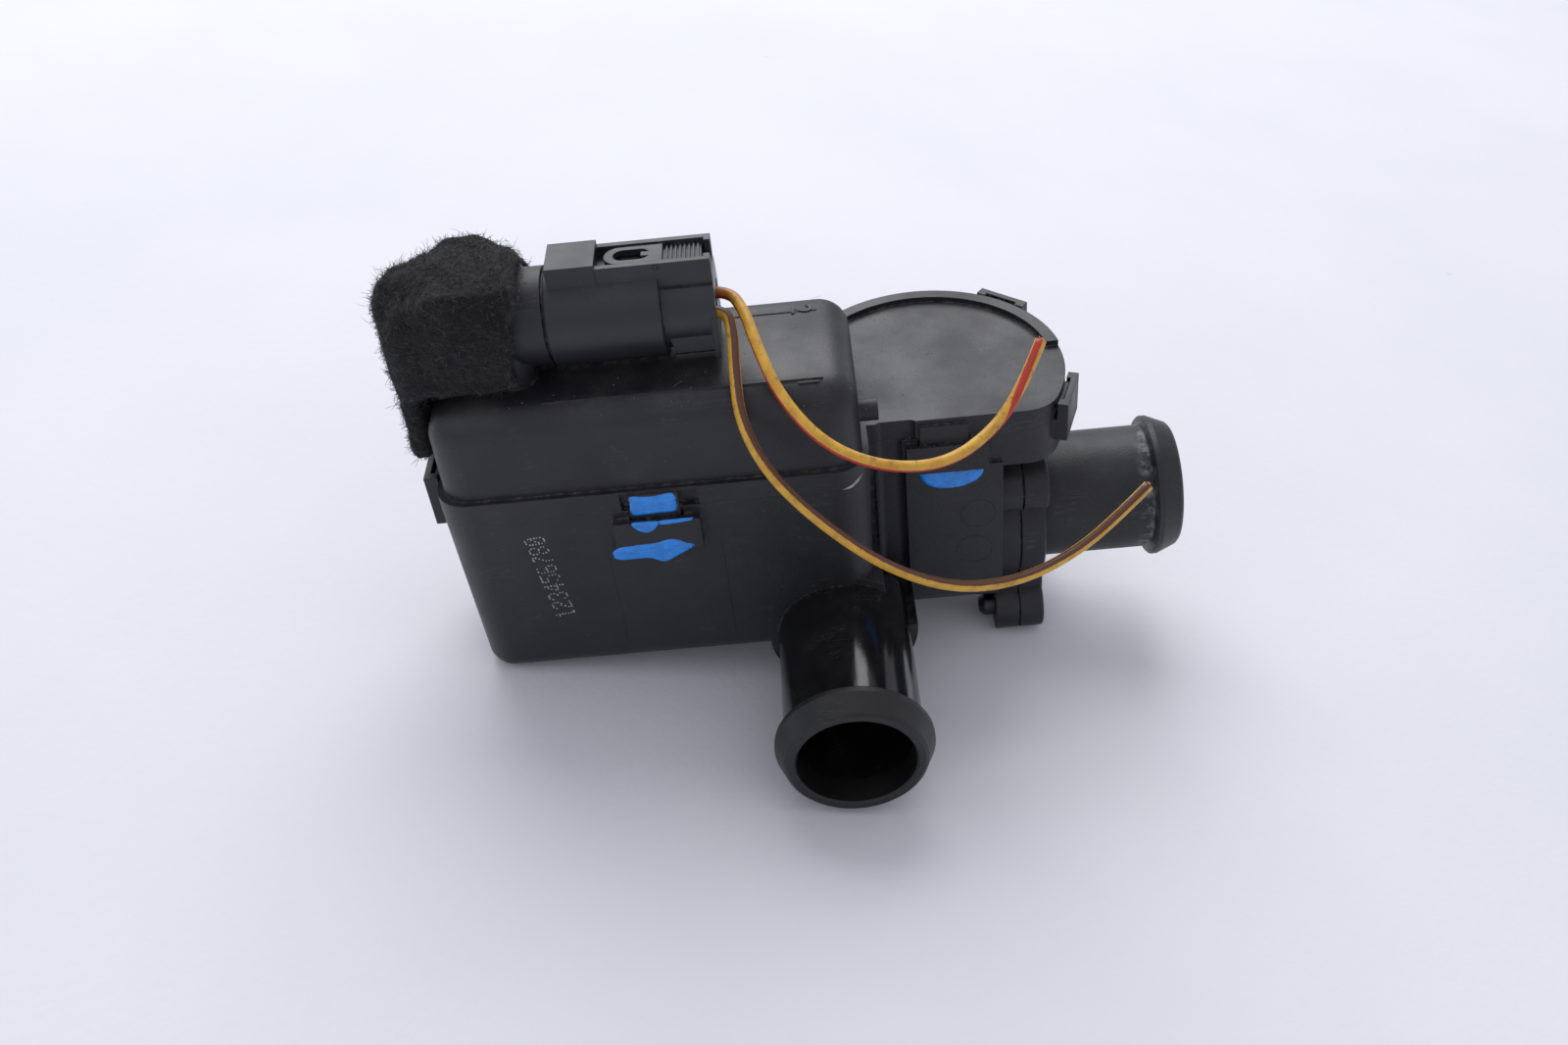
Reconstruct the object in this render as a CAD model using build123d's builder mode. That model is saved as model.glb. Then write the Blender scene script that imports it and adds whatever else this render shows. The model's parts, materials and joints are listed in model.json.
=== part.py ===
"""Motorised coolant valve: a geared motor head on a rotary valve with two hose spigots.

Millimetres.  The origin is on the outlet axis in the bolted joint plane of the outlet spigot.
+X runs out through the outlet, -Y out through the inlet, and +Z up along the valve spindle.
"""
import os
from math import acos, atan2, cos, degrees, hypot, pi, radians, sin, sqrt, tan

from build123d import *

os.makedirs("parts", exist_ok=True)

# ---- hose spigots -------------------------------------------------------------------------
TUBE_R = 10.0            # outside of both hose tubes
BORE_R = 8.5             # water way through both tubes
BEAD_R = 11.4            # hose bead
BEAD_LAND = 1.3          # cylindrical part of the bead
BEAD_TAPER = 3.3         # lead-in beyond the land
MOUTH_R = 10.1           # outside radius at the mouth
OUTLET_LENGTH = 21.9     # joint plane to the back of the bead
INLET_LENGTH = 20.5      # tub front to the back of the bead
INLET_X = -29.0
INLET_Z = -1.3
SOCKET_DEPTH = 6.0       # how far the inlet tube sits in the housing

# ---- housing ------------------------------------------------------------------------------
WALL = 1.9
SPINDLE_X = -13.2
SPINDLE_Y = 0.0
CASE_Y = -4.9            # middle of the round gear case, in front of the spindle
TUB_LENGTH = 61.4
TUB_WIDTH = 27.8
TUB_RIGHT = -23.3
TUB_FRONT = -27.7
TUB_DRAFT = 0.9
TUB_CORNER_R = 5.0
TUB_BOTTOM_R = 3.2
TUB_FLOOR_Z = -3.5
PART_Z = 27.3            # joint plane of housing and cover
LIP_T = 3.3              # edge thickness of the cover
CASE_R = 20.4            # round gear case
CASE_CORNER_R = 5.5
CASE_FRONT = -17.5       # flat front of the gear case
CASE_FLOOR_Z = 21.0
VALVE_FRONT = -18.0
VALVE_FRONT_Z = -0.9     # lower edge of the valve's flat front
VALVE_ROUND_R = 12.1     # round belly under the flat front
CHANNEL = (-22.4, -17.9) # upright channel between tub and valve
CHANNEL_BACK = -17.1
CHANNEL_CORNER_R = 1.3
NOTCH_RIGHT = -15.9      # right end of the cover's cut-away over the channel

# ---- valve --------------------------------------------------------------------------------
CHAMBER_R = 9.6
CHAMBER_HALF = 7.6
CHAMBER_WALL = 1.6
ROTOR_CLEARANCE = 0.3
PORT_R = 6.2
SLOT_HALF_W = 4.8
SLOT_HALF_H = 6.0
PASSAGE_R = 8.3          # housing's own water way behind the inlet tube
PASSAGE_WALL = 1.8
SPINDLE_R = 2.5
RUN_FIT = 0.05           # radial clearance of turning pins and shafts
CAP_T = 2.0
CAP_R = 10.4

# ---- bolted joint -------------------------------------------------------------------------
BODY_FLANGE_T = 3.6
FLANGE_T = 4.2
FLANGE_GROOVE = 0.35     # width of the groove round the joint
FLANGE_LAND_IN = 0.9     # how far the joint's land stays inside the outline
FLANGE_HALF_W = 10.5
FLANGE_TOP_Z = 12.0
FLANGE_BOTTOM_Z = -18.6
EAR_R = 4.3
SCREW_UPPER = (10.2, 11.4)
SCREW_LOWER = (8.8, -15.3)
SCREW_R = 1.9
SCREW_CLEARANCE = 0.3
SCREW_STICK_OUT = 2.5
SCREW_HEAD_R = 3.0
SCREW_HEAD_H = 2.1
SCREW_SEAT = 1.8         # head's seat, from the joint plane
HEX_R = 1.3

# ---- cover --------------------------------------------------------------------------------
BOX_SETBACK = 0.9        # raised box inside the tub's outline
BOX_TOP = 44.0
BOX_EDGE_R = 4.2
RIM_W = 1.9
RIM_H = 0.9
PLATE_T = 2.2
SOCKET_X = (-83.0, -68.2)
SOCKET_Y = (-20.0, -7.0)
SOCKET_TOP = 58.6
PLUG_Y = -13.5
PLUG_Z = 51.5
COLLAR_R = 6.1
COLLAR_ROOT_R = 6.8
COLLAR_ROOT_END = -65.4
COLLAR_T = 1.1
COLLAR_END = -57.5
SOCKET_FLOOR = -67.0

# ---- plug ---------------------------------------------------------------------------------
SLEEVE_R = 7.0
SLEEVE_T = 0.7
SLEEVE_FRONT = -65.0
SLEEVE_BACK = -49.5
PLUG_BACK = -42.3
CORE_R = 4.2
RAIL_HALF_W = 3.35
RAIL_T = 0.9
RAIL_TOP = 59.8
HOOD_TOP = 60.4
HOOD_FRONT = -64.3
LATCH_PIVOT_X = -49.6
LATCH_TIP_X = -56.6
WIRE_R = 0.8
WIRE_PITCH = 4.6

# ---- snap joints --------------------------------------------------------------------------
FRONT_LOOP = (-60.1, -47.8)
FRONT_NOTCH = (-58.6, -47.6)
FRONT_TONGUE = (-57.4, -50.4)
CASE_LOOP = (-17.8, -5.9)
CASE_TONGUE = (-15.7, -8.7)
LOOP_Z = (20.4, 25.9)
END_LOOP_Y = (-21.0, -13.0)
END_LOOP_TOP = 31.0
SIDE_LOOP_ANGLE = -21.0
SIDE_LOOP_TOP = 30.2
SIDE_LOOP_SLOT = 5.4
BACK_LOOP_ANGLE = 50.0
RIM_LOOP_BOTTOM = 23.8
RIM_LOOP_IN = 0.4        # how far the loops' slots sit inside the case's outline

# ---- gear train ---------------------------------------------------------------------------
OUTPUT_TEETH, OUTPUT_MODULE = 24, 0.8
PINION_TEETH = 10
IDLER_TEETH = 14
SECOND_TEETH, SECOND_MODULE = 20, 0.6
FIRST_TEETH, FIRST_MODULE = 40, 0.5
SECOND_X = -33.0
AXLE_R = 1.0
POST_R = 2.3
MOTOR_R = 10.0
MOTOR_CAN_Z = (3.0, 29.0)

OUTPUT_Z = (24.0, 27.2)
SECOND_WHEEL_Z = (30.4, 33.6)
FIRST_WHEEL_Z = (35.6, 38.8)
CAN_T = 0.7
ARMATURE_R = 6.6
TIP_R = 1.5
STUB_R = 2.0

# ---- smaller sizes ------------------------------------------------------------------------
RING_IN_R = 9.4
RING_OUT_R = 11.2
RING_DEPTH = 1.5
PIN_W = 1.0
PIN_T = 0.8
PIN_REACH = 7.0
TERMINAL_R = 1.3
WIRE_SEAL_R = 1.7
WIRE_START = -46.3
INSERT_R = 5.9
INSERT_FOOT_HALF_W = 5.5
HOOD_BACK = -57.7
LATCH_HALF_W = 2.2
LATCH_PIN_R = 0.35
LATCH_RING_Z = (58.75, 59.6)
LATCH_GRIP_Z = (58.2, 59.0)
LATCH_GRIP_END = -43.5
DECK_TOP = 57.2
RIB_COUNT = 8
RIB_PITCH = 0.6
PEG_R = 1.6
PEG_Y = -20.0
PEG_Z = 35.3
BOX_RIDGE_IN = 3.3
BOARD_LEFT = -71.6
BOARD_T = 1.6
BOARD_TOP = 30.5
GEAR_ROOM = 0.4          # room round and over the idler
LEAD_SHIFT = 4.5         # motor leads each side of the motor's middle
FELT_T = 1.6
FLAP_BOTTOM = 33.5

# ---- values that follow -------------------------------------------------------------------
LID_Z = PART_Z + LIP_T
TUB_LEFT = TUB_RIGHT - TUB_LENGTH
TUB_BACK = TUB_FRONT + TUB_WIDTH
TUB_MID_X = (TUB_LEFT + TUB_RIGHT) / 2
TUB_MID_Y = (TUB_FRONT + TUB_BACK) / 2
CAVITY_R = CASE_R - WALL
CASE_INSIDE_Z = CASE_FLOOR_Z + 2.0
PLATE_UNDER_Z = LID_Z - PLATE_T
BOX_LEFT = TUB_LEFT + BOX_SETBACK
BOX_RIGHT = TUB_RIGHT - BOX_SETBACK
BOX_FRONT = TUB_FRONT + BOX_SETBACK
BOX_BACK = TUB_BACK - BOX_SETBACK
BOX_MID_X = (BOX_LEFT + BOX_RIGHT) / 2
BOX_MID_Y = (BOX_FRONT + BOX_BACK) / 2
VALVE_BOTTOM_Z = -CHAMBER_HALF - CAP_T - 0.3
BOSS_R = TUBE_R + 1.3
BOARD_RIGHT = BOARD_LEFT + BOARD_T
LATCH_PIN_Z = (LATCH_RING_Z[0] + LATCH_RING_Z[1]) / 2
SCREWS = [(side * y, z) for side in (-1, 1) for y, z in (SCREW_UPPER, SCREW_LOWER)]

GEAR_Y = TUB_MID_Y
PINION_R = OUTPUT_MODULE * PINION_TEETH / 2
IDLER_R = OUTPUT_MODULE * IDLER_TEETH / 2
OUTPUT_R = OUTPUT_MODULE * OUTPUT_TEETH / 2
FIRST_X = SECOND_X - SECOND_MODULE * (SECOND_TEETH + PINION_TEETH) / 2
MOTOR_X = FIRST_X - FIRST_MODULE * (FIRST_TEETH + PINION_TEETH) / 2

# The idler touches the second pinion and the output gear.
span_to_spindle = hypot(SPINDLE_X - SECOND_X, SPINDLE_Y - GEAR_Y)
angle_to_spindle = degrees(atan2(SPINDLE_Y - GEAR_Y, SPINDLE_X - SECOND_X))
idler_reach = PINION_R + IDLER_R
idler_to_output = IDLER_R + OUTPUT_R
idler_squares = span_to_spindle**2 + idler_reach**2 - idler_to_output**2
idler_cosine = idler_squares / (2 * span_to_spindle * idler_reach)
idler_angle = angle_to_spindle + degrees(acos(min(1.0, idler_cosine)))
IDLER_X = SECOND_X + idler_reach * cos(radians(idler_angle))
IDLER_Y = GEAR_Y + idler_reach * sin(radians(idler_angle))


def rounded_box(low, high, radius):
    """Add a box with rounded upright edges between two corners to the current part."""
    middle = ((low[0] + high[0]) / 2, (low[1] + high[1]) / 2)
    with BuildSketch(Plane.XY.offset(low[2])) as base:
        with Locations(middle):
            RectangleRounded(high[0] - low[0], high[1] - low[1], radius)
    extrude(base.sketch, amount=high[2] - low[2])


def block(low, high, mode=Mode.ADD):
    """Add or cut a plain box between two corners."""
    middle = [(a + b) / 2 for a, b in zip(low, high)]
    with Locations(tuple(middle)):
        Box(high[0] - low[0], high[1] - low[1], high[2] - low[2], mode=mode)


def upright(x, y, radius, bottom, top, mode=Mode.ADD):
    """Add or cut an upright cylinder."""
    with Locations((x, y, (bottom + top) / 2)):
        Cylinder(radius, top - bottom, mode=mode)


def along_x(radius, start, end, y=0.0, z=0.0, mode=Mode.ADD):
    """Add or cut a cylinder that lies along X."""
    with Locations(((start + end) / 2, y, z)):
        Cylinder(radius, end - start, rotation=(0, 90, 0), mode=mode)


def along_y(radius, start, end, x=0.0, z=0.0, mode=Mode.ADD):
    """Add or cut a cylinder that lies along Y."""
    with Locations((x, (start + end) / 2, z)):
        Cylinder(radius, end - start, rotation=(90, 0, 0), mode=mode)


def case_outline(shrink=0.0):
    """Draw the gear case: a round wall with a flat front and rounded corners."""
    radius = CASE_R - shrink
    front = CASE_FRONT + shrink
    with BuildSketch(mode=Mode.PRIVATE) as outline:
        with Locations((SPINDLE_X, CASE_Y)):
            Circle(radius)
        with Locations((SPINDLE_X, front - radius)):
            Rectangle(4 * radius, 2 * radius, mode=Mode.SUBTRACT)
        corners = outline.vertices().sort_by(Axis.X)
        fillet(corners[-1], CASE_CORNER_R - shrink / 2)
    add(outline.sketch)


def gear_face(module, teeth, phase, hole_r):
    """Face of a spur gear with straight-sided teeth; one tooth points along phase."""
    root = module * (teeth / 2 - 1.2)
    tip = module * (teeth / 2 + 0.85)
    low_w = 0.52 * pi * module
    high_w = 0.20 * pi * module
    with BuildSketch(mode=Mode.PRIVATE) as gear:
        Circle(root)
        with PolarLocations(0, teeth, start_angle=phase):
            Polygon((root - 0.3, -low_w / 2), (tip, -high_w / 2), (tip, high_w / 2),
                    (root - 0.3, low_w / 2), align=None)
        Circle(hole_r, mode=Mode.SUBTRACT)
    return gear.sketch


def facing(x_from, y_from, x_to, y_to):
    """Direction from one axle to another, in degrees."""
    return degrees(atan2(y_to - y_from, x_to - x_from))


def meshing(teeth, phase, other_teeth, direction):
    """Phase of a gear that meshes with another one lying in the given direction from it."""
    return direction + 180 - teeth / other_teeth * (phase - direction) - 180 / other_teeth


def rim_loop(angle, top, slot_w, tongue=False):
    """Snap loop on the round gear case, or the cover's tongue that sits in it."""
    inner = CASE_R - RIM_LOOP_IN
    half_w = slot_w / 2
    with BuildPart(mode=Mode.PRIVATE) as loop:
        if tongue:
            block((inner - 0.6, -half_w + 0.3, PART_Z), (inner + 0.9, half_w - 0.3, top - 0.5))
            block((inner + 0.1, -half_w + 0.3, PART_Z - 1.8), (inner + 0.9, half_w - 0.3, top - 0.5))
        else:
            block((inner - 1.0, -half_w - 1.4, RIM_LOOP_BOTTOM), (inner + 2.0, half_w + 1.4, PART_Z))
            block((CASE_R + 0.05, -half_w - 1.4, PART_Z - 1), (inner + 2.0, half_w + 1.4, top))
            block((inner, -half_w, PART_Z - 2.0), (inner + 1.1, half_w, top + 1), mode=Mode.SUBTRACT)
    add(loop.part.moved(Location((SPINDLE_X, CASE_Y, 0), (0, 0, angle))))


def spigot_profile(start, back):
    """Half section of a hose tube from its inner end to the mouth, along +X."""
    land = back + BEAD_LAND
    mouth = land + BEAD_TAPER
    Polygon((start, BORE_R), (start, TUBE_R), (back, TUBE_R), (back + 0.15, BEAD_R - 0.35),
            (back + 0.5, BEAD_R), (land, BEAD_R), (mouth - 0.4, MOUTH_R + 0.05), (mouth, MOUTH_R - 0.4),
            (mouth, BORE_R + 0.3), (mouth - 0.3, BORE_R), align=None)


def bolted_outline():
    """Draw the outline that body flange and spigot flange share."""
    with Locations((0, (FLANGE_TOP_Z + FLANGE_BOTTOM_Z) / 2)):
        RectangleRounded(2 * FLANGE_HALF_W, FLANGE_TOP_Z - FLANGE_BOTTOM_Z, 3.5)
    with Locations(*SCREWS):
        Circle(EAR_R)
    Circle(BEAD_R + 1.6)


def channel_notch(right):
    """Draw the outline that is cut away in front of the channel, round at its back corner."""
    front = TUB_FRONT - 1
    with Locations(((CHANNEL[0] + right) / 2, (front + CHANNEL_BACK) / 2)):
        RectangleRounded(right - CHANNEL[0], CHANNEL_BACK - front, CHANNEL_CORNER_R)


# ==== lower housing ========================================================================
with BuildPart() as lower_housing:
    # deep tub, tapering a little towards its floor
    with BuildSketch(Plane.XY.offset(PART_Z)):
        with Locations((TUB_MID_X, TUB_MID_Y)):
            RectangleRounded(TUB_LENGTH, TUB_WIDTH, TUB_CORNER_R)
    tub_draft_angle = degrees(atan2(TUB_DRAFT, PART_Z - TUB_FLOOR_Z))
    extrude(amount=-(PART_Z - TUB_FLOOR_Z), taper=tub_draft_angle)
    floor_edges = lower_housing.faces().sort_by(Axis.Z)[0].edges()
    fillet(floor_edges, TUB_BOTTOM_R)
    # hollow of the tub
    with BuildSketch(Plane.XY.offset(PART_Z)):
        with Locations((TUB_MID_X, TUB_MID_Y)):
            RectangleRounded(TUB_LENGTH - 2 * WALL, TUB_WIDTH - 2 * WALL, TUB_CORNER_R - WALL)
    extrude(amount=-(PART_Z - TUB_FLOOR_Z - WALL), taper=tub_draft_angle, mode=Mode.SUBTRACT)
    # gear case
    with BuildSketch(Plane.XY.offset(CASE_FLOOR_Z)):
        case_outline()
    extrude(amount=PART_Z - CASE_FLOOR_Z)
    with BuildSketch(Plane.XY.offset(CASE_INSIDE_Z)):
        case_outline(WALL)
    extrude(amount=PART_Z - CASE_INSIDE_Z + 1, mode=Mode.SUBTRACT)
    with BuildSketch(Plane.XY.offset(CASE_INSIDE_Z)):
        with Locations((TUB_MID_X, TUB_MID_Y)):
            RectangleRounded(TUB_LENGTH - 2 * WALL, TUB_WIDTH - 2 * WALL, TUB_CORNER_R - WALL)
    extrude(amount=PART_Z - CASE_INSIDE_Z + 1, mode=Mode.SUBTRACT)
    # hollow of the tub again, where the gear case's floor ran into it
    block((TUB_RIGHT - 14, TUB_FRONT + WALL + 1.0, CASE_FLOOR_Z - 9),
          (TUB_RIGHT - WALL - 0.5, TUB_BACK - WALL - 0.8, PART_Z), mode=Mode.SUBTRACT)
    # valve body under the gear case: flat front, round belly and the chamber's wall
    upright(SPINDLE_X, SPINDLE_Y, CHAMBER_R + CHAMBER_WALL, VALVE_BOTTOM_Z, CASE_INSIDE_Z)
    block((CHANNEL[0], VALVE_FRONT, VALVE_FRONT_Z), (-BODY_FLANGE_T, SPINDLE_Y, CASE_FLOOR_Z + 1))
    # web behind the channel, from the tub's end wall to the valve
    block((TUB_RIGHT - 1.5, CHANNEL_BACK, VALVE_FRONT_Z), (CHANNEL[0] + 0.5, SPINDLE_Y, CASE_FLOOR_Z + 1))
    along_x(VALVE_ROUND_R, CHANNEL[0] + 0.5, -BODY_FLANGE_T, CASE_Y)
    # boss around the inlet passage, closed at the back, and the passage on to the chamber
    along_y(BOSS_R, TUB_FRONT + TUB_DRAFT, SPINDLE_Y + PASSAGE_R + PASSAGE_WALL, INLET_X, INLET_Z)
    along_x(PORT_R + PASSAGE_WALL, INLET_X, SPINDLE_X, SPINDLE_Y)
    # body flange with its ears
    with BuildSketch(Plane.YZ.offset(-BODY_FLANGE_T)):
        bolted_outline()
    extrude(amount=BODY_FLANGE_T)
    # posts that hold the gear axles
    upright(FIRST_X, GEAR_Y, POST_R, TUB_FLOOR_Z + 0.5, 29.4)
    upright(SECOND_X, GEAR_Y, POST_R, INLET_Z + TUBE_R, CASE_INSIDE_Z + 0.2)
    upright(IDLER_X, IDLER_Y, POST_R - 0.3, INLET_Z + TUBE_R - 3, CASE_INSIDE_Z + 0.2)
    # snap loops for the cover's tongues
    block((FRONT_LOOP[0], TUB_FRONT - 1.3, LOOP_Z[0]), (FRONT_LOOP[1], TUB_FRONT + 0.6, LOOP_Z[1]))
    block((FRONT_TONGUE[0] - 0.3, TUB_FRONT - 0.5, LOOP_Z[0] - 1),
          (FRONT_TONGUE[1] + 0.3, TUB_FRONT + 0.2, PART_Z), mode=Mode.SUBTRACT)
    block((CASE_LOOP[0], CASE_FRONT - 1.4, LOOP_Z[0] + 1.4),
          (CASE_LOOP[1], CASE_FRONT + 0.6, LOOP_Z[1] + 0.7))
    block((CASE_TONGUE[0] - 0.3, CASE_FRONT - 0.7, LOOP_Z[0]),
          (CASE_TONGUE[1] + 0.3, CASE_FRONT + 0.2, PART_Z + 1), mode=Mode.SUBTRACT)
    block((TUB_LEFT - 2.2, END_LOOP_Y[0], 22.6), (TUB_LEFT + 0.8, END_LOOP_Y[1], PART_Z))
    block((TUB_LEFT - 2.2, END_LOOP_Y[0], 22.6), (TUB_LEFT - 0.2, END_LOOP_Y[1], END_LOOP_TOP))
    block((TUB_LEFT - 1.3, END_LOOP_Y[0] + 1.2, 24.0),
          (TUB_LEFT - 0.1, END_LOOP_Y[1] - 1.2, END_LOOP_TOP + 1), mode=Mode.SUBTRACT)
    rim_loop(SIDE_LOOP_ANGLE, SIDE_LOOP_TOP, SIDE_LOOP_SLOT)
    rim_loop(BACK_LOOP_ANGLE, LID_Z + RIM_H, SIDE_LOOP_SLOT)
    # upright channel between tub and valve
    with BuildSketch(Plane.XY.offset(VALVE_FRONT_Z)):
        channel_notch(CHANNEL[1])
    extrude(amount=PART_Z - VALVE_FRONT_Z + 1, mode=Mode.SUBTRACT)
    # water ways
    upright(SPINDLE_X, SPINDLE_Y, CHAMBER_R, VALVE_BOTTOM_Z - 1, CHAMBER_HALF, mode=Mode.SUBTRACT)
    upright(SPINDLE_X, SPINDLE_Y, CAP_R, VALVE_BOTTOM_Z - 1, VALVE_BOTTOM_Z + CAP_T, mode=Mode.SUBTRACT)
    along_x(PORT_R, SPINDLE_X, 1, SPINDLE_Y, 0, mode=Mode.SUBTRACT)
    along_y(TUBE_R, TUB_FRONT - 1, TUB_FRONT + TUB_DRAFT + SOCKET_DEPTH, INLET_X, INLET_Z,
            mode=Mode.SUBTRACT)
    along_y(PASSAGE_R, TUB_FRONT, SPINDLE_Y + PASSAGE_R, INLET_X, INLET_Z, mode=Mode.SUBTRACT)
    along_x(PORT_R, INLET_X, SPINDLE_X, SPINDLE_Y, 0, mode=Mode.SUBTRACT)
    # spindle neck: seal below, bush above
    upright(SPINDLE_X, SPINDLE_Y, SPINDLE_R + 0.1, 0, CASE_INSIDE_Z + 1, mode=Mode.SUBTRACT)
    upright(SPINDLE_X, SPINDLE_Y, SPINDLE_R + 1.9, 14.0, CASE_INSIDE_Z + 1, mode=Mode.SUBTRACT)
    # screw holes
    with BuildSketch(Plane.YZ.offset(-BODY_FLANGE_T - SCREW_STICK_OUT)):
        with Locations(*SCREWS):
            Circle(SCREW_R)
    extrude(amount=BODY_FLANGE_T + SCREW_STICK_OUT + 1, mode=Mode.SUBTRACT)
    # axle holes
    upright(FIRST_X, GEAR_Y, AXLE_R, 20.0, 30.0, mode=Mode.SUBTRACT)
    upright(SECOND_X, GEAR_Y, AXLE_R, 13.0, 24.0, mode=Mode.SUBTRACT)
    upright(IDLER_X, IDLER_Y, AXLE_R, 13.0, 24.0, mode=Mode.SUBTRACT)
lower_housing.part.label = "lower_housing"
export_step(lower_housing.part, "parts/lower_housing.step")
print("lower_housing solids", len(lower_housing.part.solids()), "volume", round(lower_housing.part.volume))

# ==== top cover ============================================================================
with BuildPart() as top_cover:
    # edge strip over the tub and the plate over the gear case
    with BuildSketch(Plane.XY.offset(PART_Z)):
        with Locations((TUB_MID_X, TUB_MID_Y)):
            RectangleRounded(TUB_LENGTH, TUB_WIDTH, TUB_CORNER_R)
        case_outline()
    extrude(amount=LIP_T)
    # raised box over the motor and gears
    with BuildSketch(Plane.XY.offset(LID_Z)):
        with Locations((BOX_MID_X, BOX_MID_Y)):
            RectangleRounded(BOX_RIGHT - BOX_LEFT, BOX_BACK - BOX_FRONT, TUB_CORNER_R - BOX_SETBACK / 2)
    extrude(amount=BOX_TOP - LID_Z, taper=1.0)
    fillet(top_cover.faces().sort_by(Axis.Z)[-1].edges(), BOX_EDGE_R)
    # hollow of the box and of the gear case
    with BuildSketch(Plane.XY.offset(PART_Z)):
        with Locations((BOX_MID_X, BOX_MID_Y)):
            RectangleRounded(BOX_RIGHT - BOX_LEFT - 2 * WALL, BOX_BACK - BOX_FRONT - 2 * WALL, 2.5)
    extrude(amount=BOX_TOP - WALL - PART_Z, mode=Mode.SUBTRACT)
    with BuildSketch(Plane.XY.offset(PART_Z)):
        case_outline(WALL)
    extrude(amount=PLATE_UNDER_Z - PART_Z, mode=Mode.SUBTRACT)
    # raised rim round the back of the plate
    with BuildSketch(Plane.XY.offset(LID_Z)):
        with Locations((SPINDLE_X, CASE_Y)):
            Circle(CASE_R)
            Circle(CASE_R - RIM_W, mode=Mode.SUBTRACT)
        with Locations((SPINDLE_X, CASE_Y + 3 - CASE_R)):
            Rectangle(3 * CASE_R, 2 * CASE_R, mode=Mode.SUBTRACT)
        with Locations((BOX_RIGHT - CASE_R, BOX_BACK - CASE_R)):
            Rectangle(2 * CASE_R, 2 * CASE_R, mode=Mode.SUBTRACT)
    extrude(amount=RIM_H)
    # connector socket standing on the box
    rounded_box((SOCKET_X[0], SOCKET_Y[0], BOX_TOP - WALL), (SOCKET_X[1], SOCKET_Y[1], SOCKET_TOP), 3.0)
    fillet(top_cover.faces().sort_by(Axis.Z)[-1].edges(), 2.4)
    along_x(COLLAR_R, SOCKET_X[1] - 2, COLLAR_END, PLUG_Y, PLUG_Z)
    along_x(COLLAR_ROOT_R, SOCKET_X[1] - 2, COLLAR_ROOT_END, PLUG_Y, PLUG_Z)
    block((SOCKET_X[1] - 1, PLUG_Y - 0.5, BOX_TOP - 0.5),
          (COLLAR_ROOT_END - 0.4, PLUG_Y + 0.5, PLUG_Z - COLLAR_R + 1))
    along_x(COLLAR_R - COLLAR_T, SOCKET_FLOOR, COLLAR_END + 1, PLUG_Y, PLUG_Z, mode=Mode.SUBTRACT)
    block((SOCKET_X[0] + 2.5, SOCKET_Y[0] + 2.5, BOX_TOP - WALL - 1),
          (SOCKET_FLOOR - 2.4, SOCKET_Y[1] - 2.5, SOCKET_TOP - 2.6), mode=Mode.SUBTRACT)
    for side in (-1, 1):
        block((SOCKET_FLOOR - 3, PLUG_Y + side * WIRE_PITCH / 2 - PIN_W / 2, PLUG_Z - PIN_T / 2),
              (SOCKET_FLOOR + 1, PLUG_Y + side * WIRE_PITCH / 2 + PIN_W / 2, PLUG_Z + PIN_T / 2),
              mode=Mode.SUBTRACT)
    # peg on the box's end wall and the two fine ridges along its top
    along_x(PEG_R, BOX_RIGHT - 1.5, BOX_RIGHT + 2.6, PEG_Y, PEG_Z)
    for ridge_y in (BOX_FRONT + BOX_RIDGE_IN, BOX_BACK - BOX_RIDGE_IN - 2.6):
        block((SOCKET_X[1] + 1, ridge_y - 0.18, BOX_TOP - 0.3),
              (BOX_RIGHT - BOX_EDGE_R - 0.5, ridge_y + 0.18, BOX_TOP + 0.12))
    # notches and tongues of the snap joints
    block((FRONT_NOTCH[0], TUB_FRONT - 1, PART_Z - 1), (FRONT_NOTCH[1], TUB_FRONT + 1.0, LID_Z - 0.4),
          mode=Mode.SUBTRACT)
    block((FRONT_TONGUE[0], TUB_FRONT - 0.4, PART_Z), (FRONT_TONGUE[1], TUB_FRONT + 1.0, LID_Z - 0.4))
    block((FRONT_TONGUE[0], TUB_FRONT - 0.4, LOOP_Z[0] - 0.5),
          (FRONT_TONGUE[1], TUB_FRONT + 0.1, LID_Z - 0.6))
    with BuildSketch(Plane.XY.offset(PART_Z)):
        channel_notch(NOTCH_RIGHT)
    extrude(amount=LIP_T + 0.5, mode=Mode.SUBTRACT)
    block((CASE_TONGUE[0], CASE_FRONT - 0.6, LOOP_Z[0] + 1.0),
          (CASE_TONGUE[1], CASE_FRONT + 0.1, PART_Z + 0.1))
    block((CASE_TONGUE[0], CASE_FRONT - 0.6, PART_Z), (CASE_TONGUE[1], CASE_FRONT + 0.6, LID_Z - 1.0))
    block((TUB_LEFT - 1.1, END_LOOP_Y[0] + 1.5, PART_Z), (TUB_LEFT + 0.5, END_LOOP_Y[1] - 1.5, LID_Z - 0.4))
    block((TUB_LEFT - 1.1, END_LOOP_Y[0] + 1.5, 24.6), (TUB_LEFT - 0.3, END_LOOP_Y[1] - 1.5, LID_Z - 0.6))
    rim_loop(SIDE_LOOP_ANGLE, SIDE_LOOP_TOP, SIDE_LOOP_SLOT, tongue=True)
    rim_loop(BACK_LOOP_ANGLE, LID_Z + RIM_H, SIDE_LOOP_SLOT, tongue=True)
    # bearing for the spindle's tip and boss for the first axle
    upright(SPINDLE_X, SPINDLE_Y, TIP_R + RUN_FIT, PLATE_UNDER_Z - 1, PLATE_UNDER_Z + 1.2,
            mode=Mode.SUBTRACT)
    upright(FIRST_X, GEAR_Y, POST_R, FIRST_WHEEL_Z[1] + 0.4, BOX_TOP - 1)
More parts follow.
